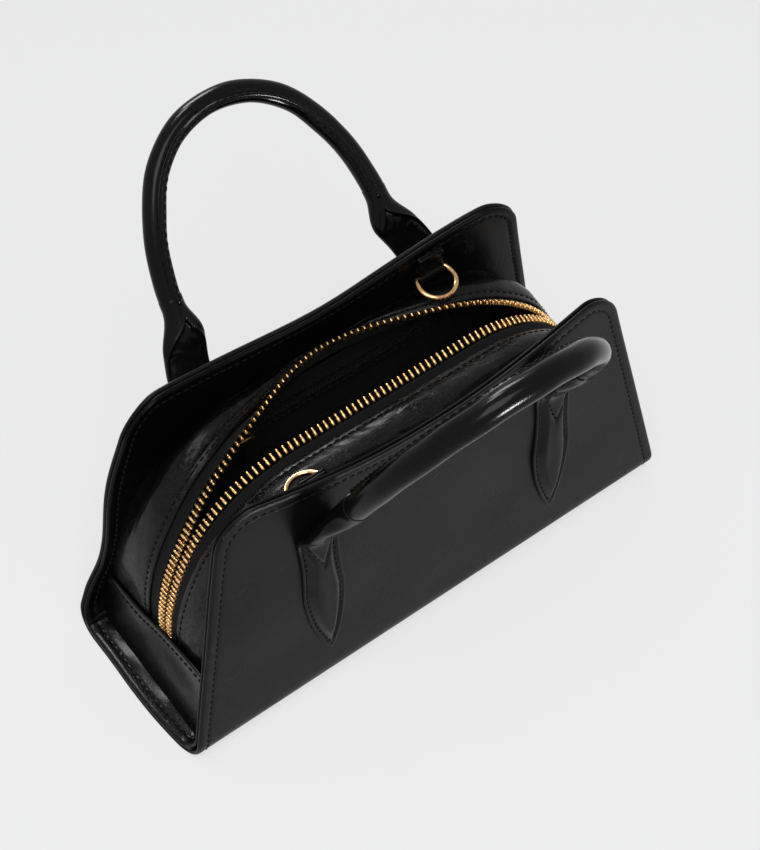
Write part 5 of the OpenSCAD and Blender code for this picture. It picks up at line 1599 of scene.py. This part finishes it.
x, height = cross_lines(2 * SLIP_HALF, 61, SLIP_LOW, SLIP_HIGH, 31)
puff = 0.35 * (1 + waves(x, height, 30, 83)) * ease(SLIP_HALF - np.abs(x), 0, 8)
puff = np.clip(puff * ease(height, SLIP_LOW, SLIP_LOW + 8), 0, 0.9)
grid = slope_sheet(x, height, POCKET_FACE + LINING_THICKNESS + puff)
cloth_piece("slip_pocket_cloth", grid[:, ::-1], "slip_pocket")
x, height = cross_lines(BAG_WIDTH, 61, POCKET_HEIGHT - BAG_BELOW, POCKET_HEIGHT + BAG_ABOVE, 31)
grid = slope_sheet(x, height, LINING_DEPTHS["rear"] - 0.1)
cloth_piece("pocket_bag_cloth", grid[:, ::-1], "pocket_bag", thickness=BAG_THICKNESS)

# %% [markdown]
# ## Kept CAD parts
# The sliders, pullers and zip stops already have the right shape, so they keep their CAD meshes and
# only get a finish. The pocket's slider and puller get a darker gold than the zip's, painted shade
# for their place deep inside the pouch.

# %% Finishes on CAD parts
ZIP_NODES, POCKET_NODES = ("zip_slider", "zip_puller", "zip_stops"), ("pocket_slider", "pocket_puller")
for finish, nodes in ((zip_gold, ZIP_NODES), (shade_darkened_gold, POCKET_NODES)):
    for node in nodes:
        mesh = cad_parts[node].data
        mesh.materials.clear()
        mesh.materials.append(finish)
print("CAD parts finished")

# %% [markdown]
# ## Stitching
# Every seam is sewn with waxed thread, so the stitches are modelled. One stitch is a small rounded
# bar whose ends dip into the leather. A row copies it along a path, turned to the path's direction
# and to the leather's outward normal, a stitch and a short gap at a time.

# %% Stitch rows
STITCH_PITCH, STITCH_LENGTH, STITCH_RADIUS, SMALL_STEP = 3.3, 2.5, 0.38, 0.05
# A stitch from end to end: place on its length, thickness, and height of its middle
STITCH = np.array([
    [-0.5, 0, -0.9], [-0.45, 0.7, -0.45], [-0.22, 1, 0.3], [0.22, 1, 0.3], [0.45, 0.7, -0.45], [0.5, 0, -0.9],
])


def stitch_shape():
    """One stitch, a bar of six sides: its points along its own three axes, and its faces."""
    step, fat, arch = STITCH.T[..., None]
    turn = np.linspace(0, 2 * math.pi, 6, endpoint=False)[None, :]
    wide, high = fat * STITCH_RADIUS * np.cos(turn), (arch + fat * np.sin(turn)) * STITCH_RADIUS
    grid = np.stack(np.broadcast_arrays(step * STITCH_LENGTH, wide, high), -1)
    return meshed(grid, round_columns=True, flip=True)


def read_at(rows, run, spots):
    """Rows of three numbers, read between at places of the running length."""
    return np.stack([np.interp(spots, run, rows[:, i]) for i in range(3)], -1)


def stitch_row(path, normals):
    """Stitches along a path: evenly spaced by running length, and each turned to the path's direction
    and to the leather's normal."""
    run = run_along(path)
    count = max(1, int(run[-1] / STITCH_PITCH))
    spots = (np.arange(count) + 0.5) * run[-1] / count
    place, normal = read_at(path, run, spots), unit(read_at(normals, run, spots))
    reach = STITCH_LENGTH / 2
    ahead = unit(read_at(path, run, spots + reach) - read_at(path, run, spots - reach))
    side = unit(np.cross(normal, ahead))
    return repeated(*stitch_shape(), np.stack([ahead, side, np.cross(ahead, side)], 1), place)


def surface_path(place, u, v):
    """Points and outward normals along a path of (u, v) on a surface place(u, v), by small steps."""
    spot = place(u, v)
    return spot, unit(np.cross(place(u + SMALL_STEP, v) - spot, place(u, v + SMALL_STEP) - spot))


def sewn(name, rows, body="shell"):
    """A piece of stitch rows."""
    return add_piece(name, *joined([stitch_row(*row) for row in rows]), thread_finish, body=body)


print("stitches to 100 mm:", int(100 / STITCH_PITCH))

# %% [markdown]
# The walls and the base have one closed row in the groove of the outer leather, seen from outside,
# and one in the groove of each facing, seen from inside.

# %% Stitches of the shell
SEAM_INSET, SEAM_STOP, OUTER_SEAM, INNER_SEAM = 4.5, 5.5, 0.2, 3.78
SEAMS = (
    (None, None, OUTER_SEAM, outer_place, False),
    (LAP_GIRTH, None, INNER_SEAM, facing_place, True),
    (None, -LAP_GIRTH, INNER_SEAM, facing_place, True),
    (-LAP_GIRTH, LAP_GIRTH, INNER_SEAM, base_place, True),
)
rows = []
for low, high, depth, place, inward in SEAMS:
    loop = inset_loop(pattern_outline(low, high)[0], SEAM_INSET)
    keep = np.ones(len(loop), bool)
    if low is not None:
        keep &= loop[:, 1] > low + SEAM_STOP
    if high is not None:
        keep &= loop[:, 1] < high - SEAM_STOP
    if keep.all():
        loop, keep = np.concatenate([loop, loop[:1]]), np.ones(len(loop) + 1, bool)
    else:
        first = int(np.argmin(keep))
        loop, keep = np.roll(loop, -first, 0), np.roll(keep, -first)
    cuts = np.flatnonzero(np.diff(keep.astype(int)) != 0) + 1
    for part, kept in zip(np.split(loop, cuts), np.split(keep, cuts)):
        if kept[0] and len(part) > 3:
            path, normal = surface_path(lambda x, g: place(x, g, depth), part[:, 0], part[:, 1])
            rows.append((path, normal if inward else -normal))
sewn("shell_stitches", rows)

# %% [markdown]
# The tabs are sewn round their border as far as the V's upper corners, and down both arms of the
# V.

# %% Stitches of the tabs
SEAM_START = TAB_LOW + 3.4
outer_side, inner_side = np.linspace(V_OUTER + 4, SEAM_START, 60), np.linspace(SEAM_START, V_INNER + 2, 60)
border = np.concatenate([half_of_tab(outer_side) - TAB_SEAM, TAB_SEAM - half_of_tab(inner_side)])
arm = np.linspace(0, 1, 20)
v_wide = np.concatenate([(arm * V_REACH)[::-1], -arm[1:] * V_REACH])
v_high = np.concatenate([(V_LOW + arm * (V_OUTER - V_LOW))[::-1], V_LOW + arm[1:] * (V_INNER - V_LOW)])
tab_rows = (border, np.concatenate([outer_side, inner_side])), (v_wide, v_high)
for name, side in HANDLES.items():
    for end, mirror, word in ENDS:
        def on_tab(wide, height):
            """A point on the tab's face at a distance from its middle line and a height up the wall."""
            across = np.clip(wide / half_of_tab(height), -0.999, 0.999)
            return strap_point(name, end, height - PIVOT_HEIGHT, across, np.sqrt(1 - across**2))

        rows = []
        for w, h in tab_rows:
            path, normal = surface_path(on_tab, w, h)
            outward = normal * np.sign(normal[:, 1:2] + 1e-9)
            rows.append((path * [mirror, side, 1], outward * [mirror, side, 1]))
        stitches = sewn(f"{name}_{word}_tab_stitches", rows, body=None)
        blend_strap(stitches)

# %% [markdown]
# The handles have two rows along the raised seam, one beside each of its edges.

# %% Stitches of the handles
SEAM_ROW, SEAM_SINK = 0.62, 0.12
for name, side in HANDLES.items():
    whole = loop_at(name, np.zeros(1))[3]
    start, stop = SEAM_ENDS[name]
    length = np.linspace(start + 2.5, whole - stop - 2.5, 160)
    x, z = loop_at(name, length)[:2]
    core = tilted(np.stack([x, 0 * x, z], -1), LOOPS[name][4])
    rows = []
    for off in (-SEAM_ROW, SEAM_ROW):
        turn = np.full(160, SEAM_TURN + off / COVER_RADIUS[name])
        path = tilted(tube_points(name, length, turn, -SEAM_SINK), LOOPS[name][4])
        rows.append((path * [1, side, 1], unit(path - core) * [1, side, 1]))
    sewn(name + "_handle_stitches", rows, body=name + "_handle")

# %% [markdown]
# The pouch has a row beside each folded edge, and one below each gusset's top edge.

# %% Stitches of the pouch
GUSSET_SEAM = 2.4
rows = []
for grid in roofs:
    lines = np.moveaxis(grid[::-1], 1, 0)
    row = np.stack([read_at(line, run_along(line), ROOF_SEAM) for line in lines])
    normal = grid_normals(grid)[-4]
    rows.append((row, normal * np.sign(normal[len(normal) // 2, 2])))
for mirror in (1, -1):
    grid = gusset_grid() * [mirror, 1, 1]
    row = grid[-1] - unit(grid[-1] - grid[-2]) * GUSSET_SEAM
    normal = np.broadcast_to(np.array([-mirror, 0, 0.12]), row.shape)
    rows.append((row + normal * 0.05, normal))
sewn("pouch_stitches", rows)

# %% [markdown]
# The finest rows hold the ring strips, the pocket's frame and the slip pocket.

# %% Stitches of the strips and pockets
LOOP_SEAM, SEAM_LOW = LOOP_WIDTH / 2 - 1.4, 3.6
rows = []
for turn in (1, -1):
    low, rise = np.full(8, SEAM_LOW), np.linspace(SEAM_LOW, TAIL_LENGTH - 0.8, 8)
    beside, level = np.full(8, LOOP_SEAM), np.linspace(-LOOP_SEAM, LOOP_SEAM, 8)
    for across, high in ((-beside, rise), (beside, rise), (level, low)):
        path = np.stack([across, 0.1 - high * math.tan(LEAN), high], -1) + BAR
        rows.append((path * [turn, turn, 1], np.broadcast_to([0, -turn, 0.1], path.shape)))
welt = frame_loop((POCKET_LENGTH + WELT_WIDTH * 0.62) / 2, WELT_WIDTH * 0.42, 1.8) + [0, POCKET_HEIGHT]
welt = np.concatenate([welt, welt[:1]])
sides = resample(np.array([[-31.5, 60.5], [-31.5, 24.5], [31.5, 24.5], [31.5, 60.5]]), 90)
hem = np.stack([np.linspace(-32, 32, 40), np.full(40, 58.5)], -1)
into = [0, -math.cos(LEAN), -math.sin(LEAN)]
slip_face = POCKET_FACE + LINING_THICKNESS
welt_face = WELT_FACE + WELT_THICKNESS
for line, depth in ((welt, welt_face + 0.04), (sides, slip_face + 0.05), (hem, slip_face + 0.3)):
    path = slope_sheet(line[:, 0], line[:, 1], depth)
    rows.append((path, np.broadcast_to(into, path.shape)))
sewn("fine_stitches", rows)
